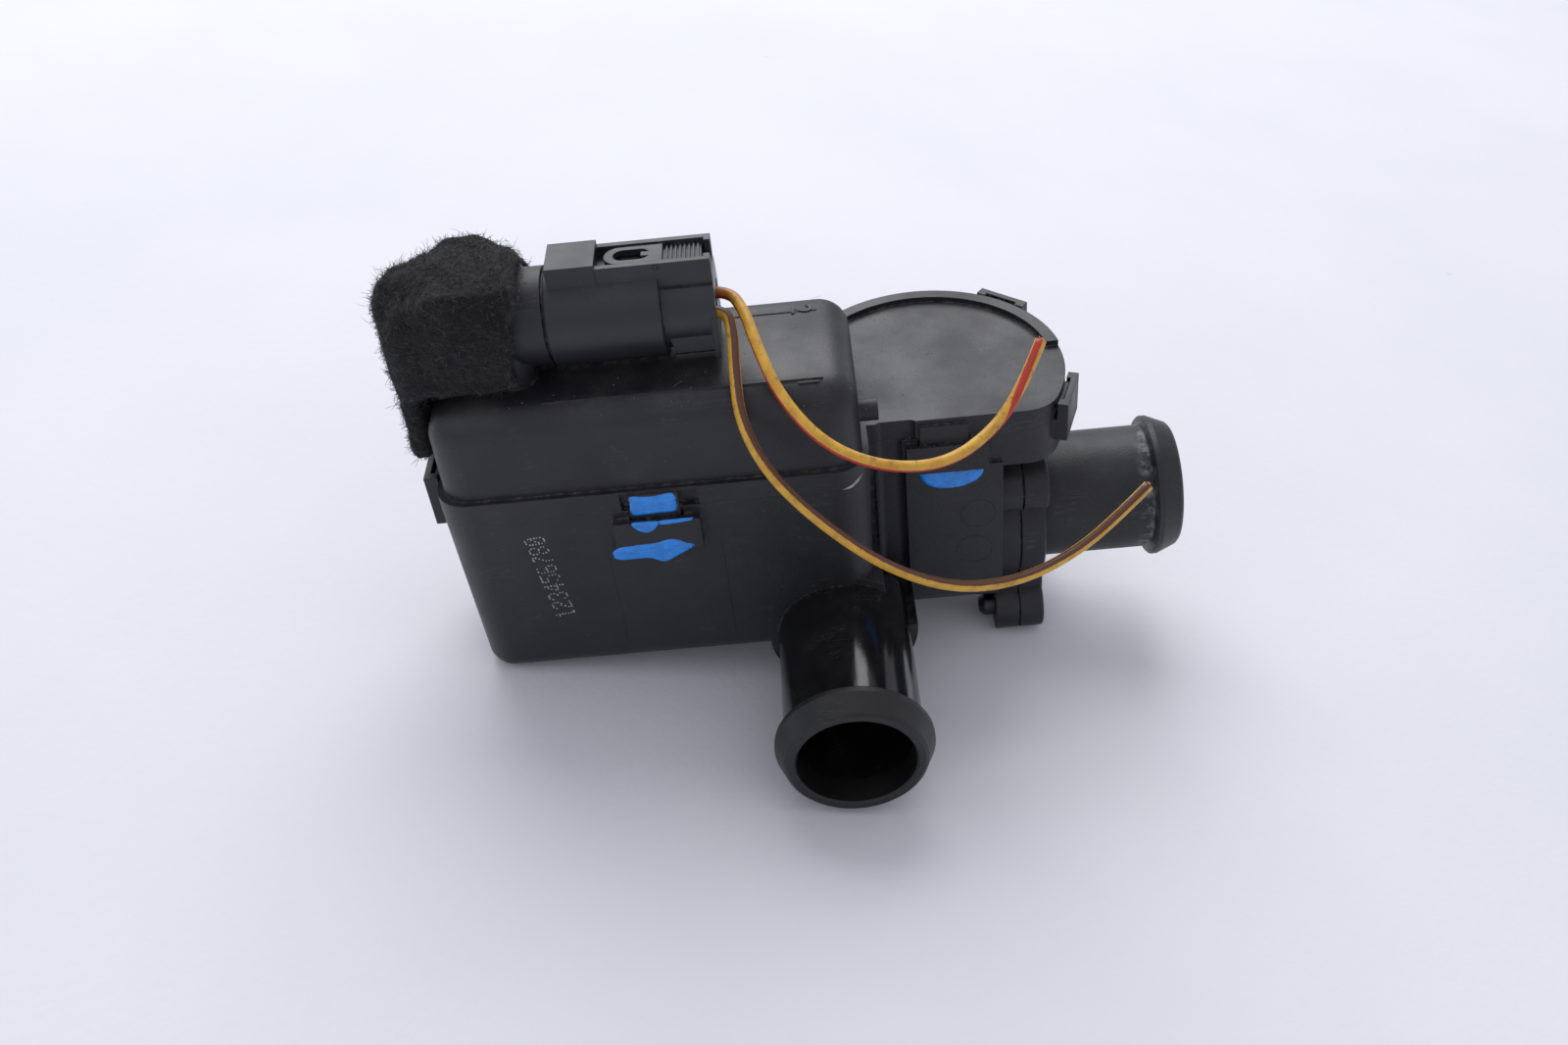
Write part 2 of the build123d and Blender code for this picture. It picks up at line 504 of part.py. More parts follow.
    # room for the idler where the box wall crosses the gear case
    upright(IDLER_X, IDLER_Y, IDLER_R + OUTPUT_MODULE + GEAR_ROOM, PART_Z - 3, OUTPUT_Z[1] + 2 * GEAR_ROOM,
            mode=Mode.SUBTRACT)
    upright(FIRST_X, GEAR_Y, AXLE_R, FIRST_WHEEL_Z[1], BOX_TOP - WALL, mode=Mode.SUBTRACT)
top_cover.part.label = "top_cover"
export_step(top_cover.part, "parts/top_cover.step")

# ==== hose spigots =========================================================================
with BuildPart() as outlet_spigot:
    with BuildSketch(Plane.YZ.offset(FLANGE_GROOVE)):
        bolted_outline()
    extrude(amount=FLANGE_T - FLANGE_GROOVE)
    fillet(outlet_spigot.faces().sort_by(Axis.X)[-1].edges(), 0.5)
    # land that meets the body flange, with a groove round it
    with BuildSketch(Plane.YZ):
        bolted_outline()
        offset(amount=-FLANGE_LAND_IN, mode=Mode.REPLACE)
    extrude(amount=FLANGE_GROOVE + 0.2)
    along_x(BORE_R, -1, FLANGE_T + 1, mode=Mode.SUBTRACT)
    with BuildSketch(Plane.XY):
        spigot_profile(0, OUTLET_LENGTH)
    revolve(axis=Axis.X)
    # screw holes, with a recess for each head
    with BuildSketch(Plane.YZ.offset(-1)):
        with Locations(*SCREWS):
            Circle(SCREW_R + SCREW_CLEARANCE)
    extrude(amount=FLANGE_T + 2, mode=Mode.SUBTRACT)
    with BuildSketch(Plane.YZ.offset(SCREW_SEAT)):
        with Locations(*SCREWS):
            Circle(SCREW_HEAD_R + 0.2)
    extrude(amount=FLANGE_T, mode=Mode.SUBTRACT)
    # the tube's wall closes what the recesses opened
    with BuildSketch(Plane.XY):
        spigot_profile(FLANGE_GROOVE, OUTLET_LENGTH)
    revolve(axis=Axis.X)
    with BuildSketch(Plane.YZ):
        Circle(RING_OUT_R)
        Circle(RING_IN_R, mode=Mode.SUBTRACT)
    extrude(amount=RING_DEPTH, mode=Mode.SUBTRACT)
outlet_spigot.part.label = "outlet_spigot"
export_step(outlet_spigot.part, "parts/outlet_spigot.step")

inlet_plane = Plane(origin=(INLET_X, TUB_FRONT, INLET_Z), x_dir=(0, -1, 0), z_dir=(0, 0, 1))
with BuildPart() as inlet_spigot:
    with BuildSketch(inlet_plane):
        spigot_profile(-TUB_DRAFT - SOCKET_DEPTH, INLET_LENGTH)
    revolve(axis=Axis(inlet_plane.origin, inlet_plane.x_dir))
inlet_spigot.part.label = "inlet_spigot"
export_step(inlet_spigot.part, "parts/inlet_spigot.step")

with BuildPart() as flange_seal:
    with BuildSketch(Plane.YZ):
        Circle(RING_OUT_R - 0.05)
        Circle(RING_IN_R + 0.05, mode=Mode.SUBTRACT)
    extrude(amount=RING_DEPTH)
flange_seal.part.label = "flange_seal"
export_step(flange_seal.part, "parts/flange_seal.step")

with BuildPart() as flange_screws:
    for screw_y, screw_z in SCREWS:
        along_x(SCREW_R, -BODY_FLANGE_T - SCREW_STICK_OUT, SCREW_SEAT + 0.1, screw_y, screw_z)
        along_x(SCREW_HEAD_R, SCREW_SEAT, SCREW_SEAT + SCREW_HEAD_H, screw_y, screw_z)
        along_x(HEX_R, SCREW_SEAT + SCREW_HEAD_H - 1.4, SCREW_SEAT + SCREW_HEAD_H + 1, screw_y, screw_z,
                mode=Mode.SUBTRACT)
    rims = flange_screws.edges().filter_by(GeomType.CIRCLE)
    head_rims = rims.filter_by(
        lambda e: abs(e.radius - SCREW_HEAD_R) < 0.01 and e.center().X > SCREW_SEAT + 1)
    fillet(head_rims, 0.7)
    tips = flange_screws.edges().filter_by(GeomType.CIRCLE)
    tip_rims = tips.filter_by(lambda e: abs(e.radius - SCREW_R) < 0.01 and e.center().X < -BODY_FLANGE_T)
    chamfer(tip_rims, 0.8)
flange_screws.part.label = "flange_screws"
export_step(flange_screws.part, "parts/flange_screws.step")

# ==== rotary valve =========================================================================
with BuildPart() as valve_rotor:
    upright(SPINDLE_X, SPINDLE_Y, CHAMBER_R - ROTOR_CLEARANCE, -CHAMBER_HALF + 0.3, CHAMBER_HALF - 0.3)
    block((SPINDLE_X - CHAMBER_R, SPINDLE_Y - SLOT_HALF_W, -SLOT_HALF_H),
          (SPINDLE_X + CHAMBER_R, SPINDLE_Y + SLOT_HALF_W, SLOT_HALF_H), mode=Mode.SUBTRACT)
    upright(SPINDLE_X, SPINDLE_Y, SPINDLE_R, 0, CHAMBER_HALF, mode=Mode.SUBTRACT)
    upright(SPINDLE_X, SPINDLE_Y, STUB_R + RUN_FIT, -CHAMBER_HALF, 0, mode=Mode.SUBTRACT)
valve_rotor.part.label = "valve_rotor"
export_step(valve_rotor.part, "parts/valve_rotor.step")

with BuildPart() as valve_spindle:
    upright(SPINDLE_X, SPINDLE_Y, SPINDLE_R, SLOT_HALF_H + 0.1, OUTPUT_Z[1] + 0.4)
    upright(SPINDLE_X, SPINDLE_Y, TIP_R, OUTPUT_Z[1], PLATE_UNDER_Z + 0.9)
valve_spindle.part.label = "valve_spindle"
export_step(valve_spindle.part, "parts/valve_spindle.step")

with BuildPart() as valve_bottom_cap:
    upright(SPINDLE_X, SPINDLE_Y, CAP_R, VALVE_BOTTOM_Z, VALVE_BOTTOM_Z + CAP_T)
    upright(SPINDLE_X, SPINDLE_Y, STUB_R, VALVE_BOTTOM_Z + CAP_T, -SLOT_HALF_H - 0.3)
    upright(SPINDLE_X, SPINDLE_Y, CAP_R - 3, VALVE_BOTTOM_Z, VALVE_BOTTOM_Z + 1.2, mode=Mode.SUBTRACT)
valve_bottom_cap.part.label = "valve_bottom_cap"
export_step(valve_bottom_cap.part, "parts/valve_bottom_cap.step")

with BuildPart() as spindle_seal:
    upright(SPINDLE_X, SPINDLE_Y, SPINDLE_R + 1.9, 14.0, 16.2)
    upright(SPINDLE_X, SPINDLE_Y, SPINDLE_R + RUN_FIT, 13.0, 17.0, mode=Mode.SUBTRACT)
spindle_seal.part.label = "spindle_seal"
export_step(spindle_seal.part, "parts/spindle_seal.step")

with BuildPart() as spindle_bush:
    upright(SPINDLE_X, SPINDLE_Y, SPINDLE_R + 1.9, 16.2, CASE_INSIDE_Z)
    upright(SPINDLE_X, SPINDLE_Y, SPINDLE_R + RUN_FIT, 16.0, CASE_INSIDE_Z + 1, mode=Mode.SUBTRACT)
spindle_bush.part.label = "spindle_bush"
export_step(spindle_bush.part, "parts/spindle_bush.step")

# ==== gear train ===========================================================================
to_idler = facing(SPINDLE_X, SPINDLE_Y, IDLER_X, IDLER_Y)
idler_phase = meshing(OUTPUT_TEETH, 0, IDLER_TEETH, to_idler)
to_second = facing(IDLER_X, IDLER_Y, SECOND_X, GEAR_Y)
second_pinion_phase = meshing(IDLER_TEETH, idler_phase, PINION_TEETH, to_second)
first_pinion_phase = meshing(SECOND_TEETH, 0, PINION_TEETH, 180)
motor_pinion_phase = meshing(FIRST_TEETH, 0, PINION_TEETH, 180)

with BuildPart() as output_gear:
    with BuildSketch(Plane.XY.offset(OUTPUT_Z[0])):
        with Locations((SPINDLE_X, SPINDLE_Y)):
            add(gear_face(OUTPUT_MODULE, OUTPUT_TEETH, 0, SPINDLE_R))
    extrude(amount=OUTPUT_Z[1] - OUTPUT_Z[0])
output_gear.part.label = "output_gear"
export_step(output_gear.part, "parts/output_gear.step")

with BuildPart() as idler_gear:
    with BuildSketch(Plane.XY.offset(OUTPUT_Z[0] - 0.2)):
        with Locations((IDLER_X, IDLER_Y)):
            add(gear_face(OUTPUT_MODULE, IDLER_TEETH, idler_phase, AXLE_R + RUN_FIT))
    extrude(amount=OUTPUT_Z[1] - OUTPUT_Z[0] + 0.4)
idler_gear.part.label = "idler_gear"
export_step(idler_gear.part, "parts/idler_gear.step")

with BuildPart() as second_gear:
    with BuildSketch(Plane.XY.offset(SECOND_WHEEL_Z[0])):
        with Locations((SECOND_X, GEAR_Y)):
            add(gear_face(SECOND_MODULE, SECOND_TEETH, 0, AXLE_R + RUN_FIT))
    extrude(amount=SECOND_WHEEL_Z[1] - SECOND_WHEEL_Z[0])
    with BuildSketch(Plane.XY.offset(OUTPUT_Z[0] - 0.2)):
        with Locations((SECOND_X, GEAR_Y)):
            add(gear_face(OUTPUT_MODULE, PINION_TEETH, second_pinion_phase, AXLE_R + RUN_FIT))
    extrude(amount=SECOND_WHEEL_Z[0] - OUTPUT_Z[0] + 0.2)
second_gear.part.label = "second_gear"
export_step(second_gear.part, "parts/second_gear.step")

with BuildPart() as first_gear:
    with BuildSketch(Plane.XY.offset(FIRST_WHEEL_Z[0])):
        with Locations((FIRST_X, GEAR_Y)):
            add(gear_face(FIRST_MODULE, FIRST_TEETH, 0, AXLE_R + RUN_FIT))
    extrude(amount=FIRST_WHEEL_Z[1] - FIRST_WHEEL_Z[0])
    with BuildSketch(Plane.XY.offset(SECOND_WHEEL_Z[0] - 0.3)):
        with Locations((FIRST_X, GEAR_Y)):
            add(gear_face(SECOND_MODULE, PINION_TEETH, first_pinion_phase, AXLE_R + RUN_FIT))
    extrude(amount=FIRST_WHEEL_Z[0] - SECOND_WHEEL_Z[0] + 0.3)
first_gear.part.label = "first_gear"
export_step(first_gear.part, "parts/first_gear.step")

with BuildPart() as motor_pinion:
    with BuildSketch(Plane.XY.offset(FIRST_WHEEL_Z[0] - 0.4)):
        with Locations((MOTOR_X, GEAR_Y)):
            add(gear_face(FIRST_MODULE, PINION_TEETH, motor_pinion_phase, AXLE_R))
    extrude(amount=FIRST_WHEEL_Z[1] - FIRST_WHEEL_Z[0] + 0.8)
motor_pinion.part.label = "motor_pinion"
export_step(motor_pinion.part, "parts/motor_pinion.step")

AXLES = {
    "first_axle": (FIRST_X, GEAR_Y, 20.0, BOX_TOP - WALL),
    "second_axle": (SECOND_X, GEAR_Y, 13.0, SECOND_WHEEL_Z[1] + 0.8),
    "idler_axle": (IDLER_X, IDLER_Y, 13.0, OUTPUT_Z[1] + 0.4),
}
for axle_name, (axle_x, axle_y, axle_low, axle_high) in AXLES.items():
    with BuildPart() as axle:
        upright(axle_x, axle_y, AXLE_R, axle_low, axle_high)
    axle.part.label = axle_name
    export_step(axle.part, f"parts/{axle_name}.step")

# ==== motor ================================================================================
with BuildPart() as motor_can:
    upright(MOTOR_X, GEAR_Y, MOTOR_R, MOTOR_CAN_Z[0], MOTOR_CAN_Z[1])
    upright(MOTOR_X, GEAR_Y, 3.2, MOTOR_CAN_Z[1], MOTOR_CAN_Z[1] + 1.6)
    upright(MOTOR_X, GEAR_Y, MOTOR_R - CAN_T, MOTOR_CAN_Z[0] - 1, MOTOR_CAN_Z[1] - 1.0, mode=Mode.SUBTRACT)
    upright(MOTOR_X, GEAR_Y, 2.2, MOTOR_CAN_Z[1] - 2, MOTOR_CAN_Z[1] + 2, mode=Mode.SUBTRACT)
motor_can.part.label = "motor_can"
export_step(motor_can.part, "parts/motor_can.step")

with BuildPart() as motor_end_cap:
    upright(MOTOR_X, GEAR_Y, MOTOR_R, MOTOR_CAN_Z[0] - 2.4, MOTOR_CAN_Z[0])
    upright(MOTOR_X, GEAR_Y, MOTOR_R - CAN_T, MOTOR_CAN_Z[0], MOTOR_CAN_Z[0] + 1.6)
    upright(MOTOR_X, GEAR_Y, MOTOR_R - CAN_T - 1.4, MOTOR_CAN_Z[0], MOTOR_CAN_Z[0] + 2, mode=Mode.SUBTRACT)
    upright(MOTOR_X, GEAR_Y, AXLE_R + RUN_FIT, MOTOR_CAN_Z[0] - 3, MOTOR_CAN_Z[0] + 1, mode=Mode.SUBTRACT)
motor_end_cap.part.label = "motor_end_cap"
export_step(motor_end_cap.part, "parts/motor_end_cap.step")

with BuildPart() as motor_bush:
    upright(MOTOR_X, GEAR_Y, 2.2, MOTOR_CAN_Z[1] - 1.0, MOTOR_CAN_Z[1] + 1.6)
    upright(MOTOR_X, GEAR_Y, AXLE_R + RUN_FIT, MOTOR_CAN_Z[1] - 2, MOTOR_CAN_Z[1] + 2, mode=Mode.SUBTRACT)
motor_bush.part.label = "motor_bush"
export_step(motor_bush.part, "parts/motor_bush.step")

with BuildPart() as motor_magnets:
    with BuildSketch(Plane.XY.offset(MOTOR_CAN_Z[0] + 4)):
        with Locations((MOTOR_X, GEAR_Y)):
            Circle(MOTOR_R - CAN_T)
            Circle(ARMATURE_R + 0.4, mode=Mode.SUBTRACT)
            Rectangle(2.4 * MOTOR_R, 5.0, mode=Mode.SUBTRACT)
    extrude(amount=18)
motor_magnets.part.label = "motor_magnets"
export_step(motor_magnets.part, "parts/motor_magnets.step")

with BuildPart() as motor_armature:
    with BuildSketch(Plane.XY.offset(MOTOR_CAN_Z[0] + 6)):
        with Locations((MOTOR_X, GEAR_Y)):
            Circle(ARMATURE_R)
            with PolarLocations(ARMATURE_R - 1.2, 3):
                Rectangle(4.4, 1.6, mode=Mode.SUBTRACT)
            Circle(AXLE_R, mode=Mode.SUBTRACT)
    extrude(amount=14)
    upright(MOTOR_X, GEAR_Y, 2.6, MOTOR_CAN_Z[0] + 2.2, MOTOR_CAN_Z[0] + 6)
    upright(MOTOR_X, GEAR_Y, AXLE_R, MOTOR_CAN_Z[0], MOTOR_CAN_Z[0] + 8, mode=Mode.SUBTRACT)
motor_armature.part.label = "motor_armature"
export_step(motor_armature.part, "parts/motor_armature.step")

with BuildPart() as motor_shaft:
    upright(MOTOR_X, GEAR_Y, AXLE_R, MOTOR_CAN_Z[0] - 2.2, FIRST_WHEEL_Z[1] + 0.6)
motor_shaft.part.label = "motor_shaft"
export_step(motor_shaft.part, "parts/motor_shaft.step")

with BuildPart() as motor_damper:
    upright(MOTOR_X, GEAR_Y, MOTOR_R - 1, TUB_FLOOR_Z + WALL, MOTOR_CAN_Z[0] - 2.4)
    upright(MOTOR_X, GEAR_Y, MOTOR_R - 4, TUB_FLOOR_Z, MOTOR_CAN_Z[0], mode=Mode.SUBTRACT)
motor_damper.part.label = "motor_damper"
export_step(motor_damper.part, "parts/motor_damper.step")

# ==== electrical parts =====================================================================
with BuildPart() as circuit_board:
    block((BOARD_LEFT, BOX_FRONT + WALL + 1.4, TUB_FLOOR_Z + WALL + 0.4),
          (BOARD_RIGHT, BOX_BACK - WALL - 1.4, BOARD_TOP))
circuit_board.part.label = "circuit_board"
export_step(circuit_board.part, "parts/circuit_board.step")

with BuildPart() as suppression_parts:
    for part_y in (-18.5, -8.5):
        along_x(2.6, BOARD_LEFT - 5.0, BOARD_LEFT, part_y, 15.0)
    block((BOARD_LEFT - 3.2, -15.5, 5.0), (BOARD_LEFT, -11.5, 9.0))
suppression_parts.part.label = "suppression_parts"
export_step(suppression_parts.part, "parts/suppression_parts.step")

with BuildPart() as motor_leads:
    for side in (-1, 1):
        lead_y = GEAR_Y + side * LEAD_SHIFT
        block((BOARD_RIGHT, lead_y - 0.8, MOTOR_CAN_Z[0] - 1.6),
              (MOTOR_X - MOTOR_R + 2.5, lead_y + 0.8, MOTOR_CAN_Z[0] - 1.2))
motor_leads.part.label = "motor_leads"
export_step(motor_leads.part, "parts/motor_leads.step")

with BuildPart() as socket_pins:
    for side in (-1, 1):
        pin_y = PLUG_Y + side * WIRE_PITCH / 2
        block((BOARD_LEFT - PIN_T, pin_y - PIN_W / 2, PLUG_Z - PIN_T / 2),
              (SOCKET_FLOOR + PIN_REACH, pin_y + PIN_W / 2, PLUG_Z + PIN_T / 2))
        block((BOARD_LEFT - PIN_T, pin_y - PIN_W / 2, BOARD_TOP - 4),
              (BOARD_LEFT, pin_y + PIN_W / 2, PLUG_Z + PIN_T / 2))
socket_pins.part.label = "socket_pins"
export_step(socket_pins.part, "parts/socket_pins.step")

# ==== plug on the cut harness ==============================================================
with BuildPart() as plug_shell:
    along_x(SLEEVE_R, SLEEVE_FRONT, SLEEVE_BACK, PLUG_Y, PLUG_Z)
    fillet(plug_shell.edges().filter_by(GeomType.CIRCLE), 0.25)
    # rails each side of the latch, the deck under it and the hood in front of it
    for side in (-1, 1):
        inner_y, outer_y = sorted((PLUG_Y + side * (RAIL_HALF_W - RAIL_T), PLUG_Y + side * RAIL_HALF_W))
        block((HOOD_BACK - 1, inner_y, PLUG_Z + 4.5), (PLUG_BACK, outer_y, RAIL_TOP))
        post_y, wall_y = sorted((PLUG_Y + side * (RAIL_HALF_W - 1.6), PLUG_Y + side * RAIL_HALF_W))
        block((LATCH_GRIP_END + 0.3, post_y, PLUG_Z + 4.5), (PLUG_BACK, wall_y, RAIL_TOP))
    block((HOOD_BACK - 1, PLUG_Y - RAIL_HALF_W, PLUG_Z + 4.5), (PLUG_BACK, PLUG_Y + RAIL_HALF_W, DECK_TOP))
    hood_half_w = RAIL_HALF_W + 0.1
    block((HOOD_FRONT, PLUG_Y - hood_half_w, PLUG_Z + 3), (HOOD_BACK, PLUG_Y + hood_half_w, HOOD_TOP))
    along_x(SLEEVE_R - SLEEVE_T, SLEEVE_FRONT - 1, SLEEVE_BACK - 2, PLUG_Y, PLUG_Z, mode=Mode.SUBTRACT)
    along_x(CORE_R, SLEEVE_FRONT + 1, SLEEVE_BACK, PLUG_Y, PLUG_Z)
    for side in (-1, 1):
        along_x(TERMINAL_R, SLEEVE_FRONT, SLEEVE_BACK + 1, PLUG_Y + side * WIRE_PITCH / 2, PLUG_Z,
                mode=Mode.SUBTRACT)
    along_y(LATCH_PIN_R + RUN_FIT, PLUG_Y - RAIL_HALF_W - 1, PLUG_Y + RAIL_HALF_W + 1, LATCH_PIVOT_X,
            LATCH_PIN_Z, mode=Mode.SUBTRACT)
plug_shell.part.label = "plug_shell"
export_step(plug_shell.part, "parts/plug_shell.step")

with BuildPart() as plug_insert:
    along_x(INSERT_R, SLEEVE_BACK, PLUG_BACK, PLUG_Y, PLUG_Z)
    block((SLEEVE_BACK - 1, PLUG_Y - INSERT_R, PLUG_Z + 4.5),
          (PLUG_BACK + 1, PLUG_Y + INSERT_R, PLUG_Z + INSERT_R), mode=Mode.SUBTRACT)
    # wedges that stand out on both flanks, and the foot plate at the back
    with BuildSketch(Plane.XZ.offset(-PLUG_Y - INSERT_FOOT_HALF_W)):
        Polygon((SLEEVE_BACK + 0.3, PLUG_Z - 1.4), (PLUG_BACK - 0.6, PLUG_Z + 0.8),
                (PLUG_BACK - 0.6, PLUG_Z - 4.6), (SLEEVE_BACK + 1.2, PLUG_Z - 4.6), align=None)
    extrude(amount=2 * INSERT_FOOT_HALF_W)
    block((SLEEVE_BACK + 1.0, PLUG_Y - INSERT_FOOT_HALF_W, PLUG_Z - 5.6),
          (PLUG_BACK, PLUG_Y + INSERT_FOOT_HALF_W, PLUG_Z - 4.8))
    block((PLUG_BACK - 0.8, PLUG_Y - INSERT_FOOT_HALF_W - 0.5, PLUG_Z - 5.6),
          (PLUG_BACK, PLUG_Y + INSERT_FOOT_HALF_W + 0.5, PLUG_Z + 0.6))
    for side in (-1, 1):
        along_x(WIRE_SEAL_R, SLEEVE_BACK - 1, PLUG_BACK + 1, PLUG_Y + side * WIRE_PITCH / 2, PLUG_Z,
                mode=Mode.SUBTRACT)
plug_insert.part.label = "plug_insert"
export_step(plug_insert.part, "parts/plug_insert.step")

with BuildPart() as plug_latch:
    # ring with a round tip and a U-shaped opening
    with BuildSketch(Plane.XY.offset(LATCH_RING_Z[0])):
        with Locations(((LATCH_TIP_X + LATCH_PIVOT_X) / 2 + 1.1, PLUG_Y)):
            SlotOverall(LATCH_PIVOT_X - LATCH_TIP_X + 2.2, 2 * LATCH_HALF_W)
        with Locations((LATCH_PIVOT_X + 0.3, PLUG_Y)):
            Rectangle(1.2, 2 * LATCH_HALF_W)
        with Locations((LATCH_PIVOT_X + 2.9, PLUG_Y)):
            Rectangle(4.0, 3 * LATCH_HALF_W, mode=Mode.SUBTRACT)
        with Locations(((LATCH_TIP_X + LATCH_PIVOT_X) / 2 + 0.2, PLUG_Y)):
            SlotOverall(4.9, 2.6, mode=Mode.SUBTRACT)
        with Locations((LATCH_PIVOT_X - 1.2, PLUG_Y)):
            Rectangle(1.6, 1.0)
    extrude(amount=LATCH_RING_Z[1] - LATCH_RING_Z[0])
    along_y(LATCH_PIN_R, PLUG_Y - RAIL_HALF_W, PLUG_Y + RAIL_HALF_W, LATCH_PIVOT_X, LATCH_PIN_Z)
    # lower grip with ribs where the thumb presses
    block((LATCH_PIVOT_X + 0.2, PLUG_Y - LATCH_HALF_W, LATCH_GRIP_Z[0]),
          (LATCH_PIVOT_X + 0.9, PLUG_Y + LATCH_HALF_W, LATCH_RING_Z[1]))
    block((LATCH_PIVOT_X + 0.2, PLUG_Y - LATCH_HALF_W, LATCH_GRIP_Z[0]),
          (LATCH_GRIP_END, PLUG_Y + LATCH_HALF_W, LATCH_GRIP_Z[1]))
    for rib in range(RIB_COUNT):
        rib_x = LATCH_PIVOT_X + 1.3 + RIB_PITCH * rib
        block((rib_x, PLUG_Y - LATCH_HALF_W, LATCH_GRIP_Z[1] - 0.1),
              (rib_x + 0.3, PLUG_Y + LATCH_HALF_W, LATCH_GRIP_Z[1] + 0.28))
plug_latch.part.label = "plug_latch"
export_step(plug_latch.part, "parts/plug_latch.step")

with BuildPart() as plug_seal:
    along_x(COLLAR_R - COLLAR_T - 0.05, -61.5, -59.0, PLUG_Y, PLUG_Z)
    along_x(CORE_R, -62.0, -58.0, PLUG_Y, PLUG_Z, mode=Mode.SUBTRACT)
plug_seal.part.label = "plug_seal"
export_step(plug_seal.part, "parts/plug_seal.step")

with BuildPart() as plug_terminals:
    for side in (-1, 1):
        along_x(TERMINAL_R, SLEEVE_FRONT + 1.6, SLEEVE_BACK, PLUG_Y + side * WIRE_PITCH / 2, PLUG_Z)
        block((SLEEVE_FRONT, PLUG_Y + side * WIRE_PITCH / 2 - PIN_W / 2, PLUG_Z - PIN_T / 2),
              (SOCKET_FLOOR + PIN_REACH, PLUG_Y + side * WIRE_PITCH / 2 + PIN_W / 2,
               PLUG_Z + PIN_T / 2), mode=Mode.SUBTRACT)
plug_terminals.part.label = "plug_terminals"
export_step(plug_terminals.part, "parts/plug_terminals.step")

with BuildPart() as wire_seals:
    for side in (-1, 1):
        along_x(WIRE_SEAL_R, SLEEVE_BACK, PLUG_BACK - 0.6, PLUG_Y + side * WIRE_PITCH / 2, PLUG_Z)
        along_x(WIRE_R, WIRE_START, PLUG_BACK + 1, PLUG_Y + side * WIRE_PITCH / 2, PLUG_Z,
                mode=Mode.SUBTRACT)
wire_seals.part.label = "wire_seals"
export_step(wire_seals.part, "parts/wire_seals.step")

# ==== felt round the socket ================================================================
with BuildPart() as felt_wrap:
    rounded_box((SOCKET_X[0] - FELT_T, SOCKET_Y[0] - FELT_T, BOX_TOP + 0.4),
                (SOCKET_X[1] - 0.8, SOCKET_Y[1] + FELT_T, SOCKET_TOP + FELT_T), 3.0)
    fillet(felt_wrap.faces().sort_by(Axis.Z)[-1].edges(), 2.0)
    block((SOCKET_X[0] - 2 * FELT_T, SOCKET_Y[0] + 1.0, FLAP_BOTTOM),
          (SOCKET_X[0] - FELT_T + 0.1, SOCKET_Y[1] - 1.0, SOCKET_TOP - 2.4))
    block((SOCKET_X[0] - 0.05, SOCKET_Y[0] - 0.05, BOX_TOP - 1),
          (SOCKET_X[1] + 1, SOCKET_Y[1] + 0.05, SOCKET_TOP + 0.05), mode=Mode.SUBTRACT)
felt_wrap.part.label = "felt_wrap"
export_step(felt_wrap.part, "parts/felt_wrap.step")

# ==== cut wires ============================================================================
RED_ROUTE = [
    (-46.3, -11.2, 51.5), (-40.9, -11.2, 51.5), (-38.8, -15.2, 50.6), (-37.5, -20.5, 48.5),
    (-34.9, -27.8, 44.6), (-29.6, -33.0, 39.8), (-22.2, -35.2, 36.8), (-13.6, -33.2, 34.7),
    (-6.4, -28.2, 36.0), (-1.9, -23.8, 39.8), (1.0, -20.0, 44.2),
]
BROWN_ROUTE = [
    (-46.3, -15.8, 51.5), (-41.2, -15.8, 51.5), (-40.4, -19.0, 49.3), (-40.6, -24.0, 46.0),
    (-40.3, -29.4, 41.6), (-37.0, -33.8, 35.8), (-30.4, -36.4, 28.5), (-22.0, -37.4, 20.6),
    (-12.6, -36.2, 14.6), (-3.0, -32.6, 11.8), (5.6, -28.4, 12.6), (12.2, -24.5, 15.2),
    (17.1, -21.5, 18.0),
]


def bend_radii(route):
    """Largest tangent arc at each corner of a wire's route."""
    points = [Vector(*p) for p in route]
    radii = []
    for before, corner, after in zip(points, points[1:], points[2:]):
        run_in = corner - before
        run_out = after - corner
        turn = radians(run_in.get_angle(run_out))
        radii.append(0.45 * min(run_in.length, run_out.length) / tan(turn / 2))
    return radii


for wire_name, route in (("wire_red_stripe", RED_ROUTE), ("wire_brown_stripe", BROWN_ROUTE)):
    radii = bend_radii(route)
    print(wire_name, "bend radii", [round(r, 1) for r in radii])
    with BuildPart() as wire:
        with BuildLine() as wire_path:
            FilletPolyline(*route, radius=radii)
        with BuildSketch(Plane(origin=route[0], z_dir=wire_path.line % 0)):
            Circle(WIRE_R)
        sweep()
    wire_length = wire_path.wires()[0].length
    volume_ratio = wire.part.volume / (pi * WIRE_R**2 * wire_length)
    print(wire_name, "length", round(wire_length, 1), "volume over section times length",
          round(volume_ratio, 4))
    wire.part.label = wire_name
    export_step(wire.part, f"parts/{wire_name}.step")
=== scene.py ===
"""Looks of a motorised coolant valve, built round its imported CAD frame.

Metres, Z up, in the CAD's own frame: the origin lies on the outlet axis in the bolted joint, +X runs out
of the outlet and -Y out of the inlet.  The CAD nodes get finishes, and all but the felt and the two wires
keep their shapes; those three, the paint, print, moulded digits, mould lines and dust are built here and
ride on the CAD bodies.
"""

import json
import logging
import math
from dataclasses import dataclass
from enum import Enum
from typing import Iterable, Sequence

import bmesh
import bpy
import numpy as np
from mathutils import Matrix, Vector, noise
from mathutils.bvhtree import BVHTree

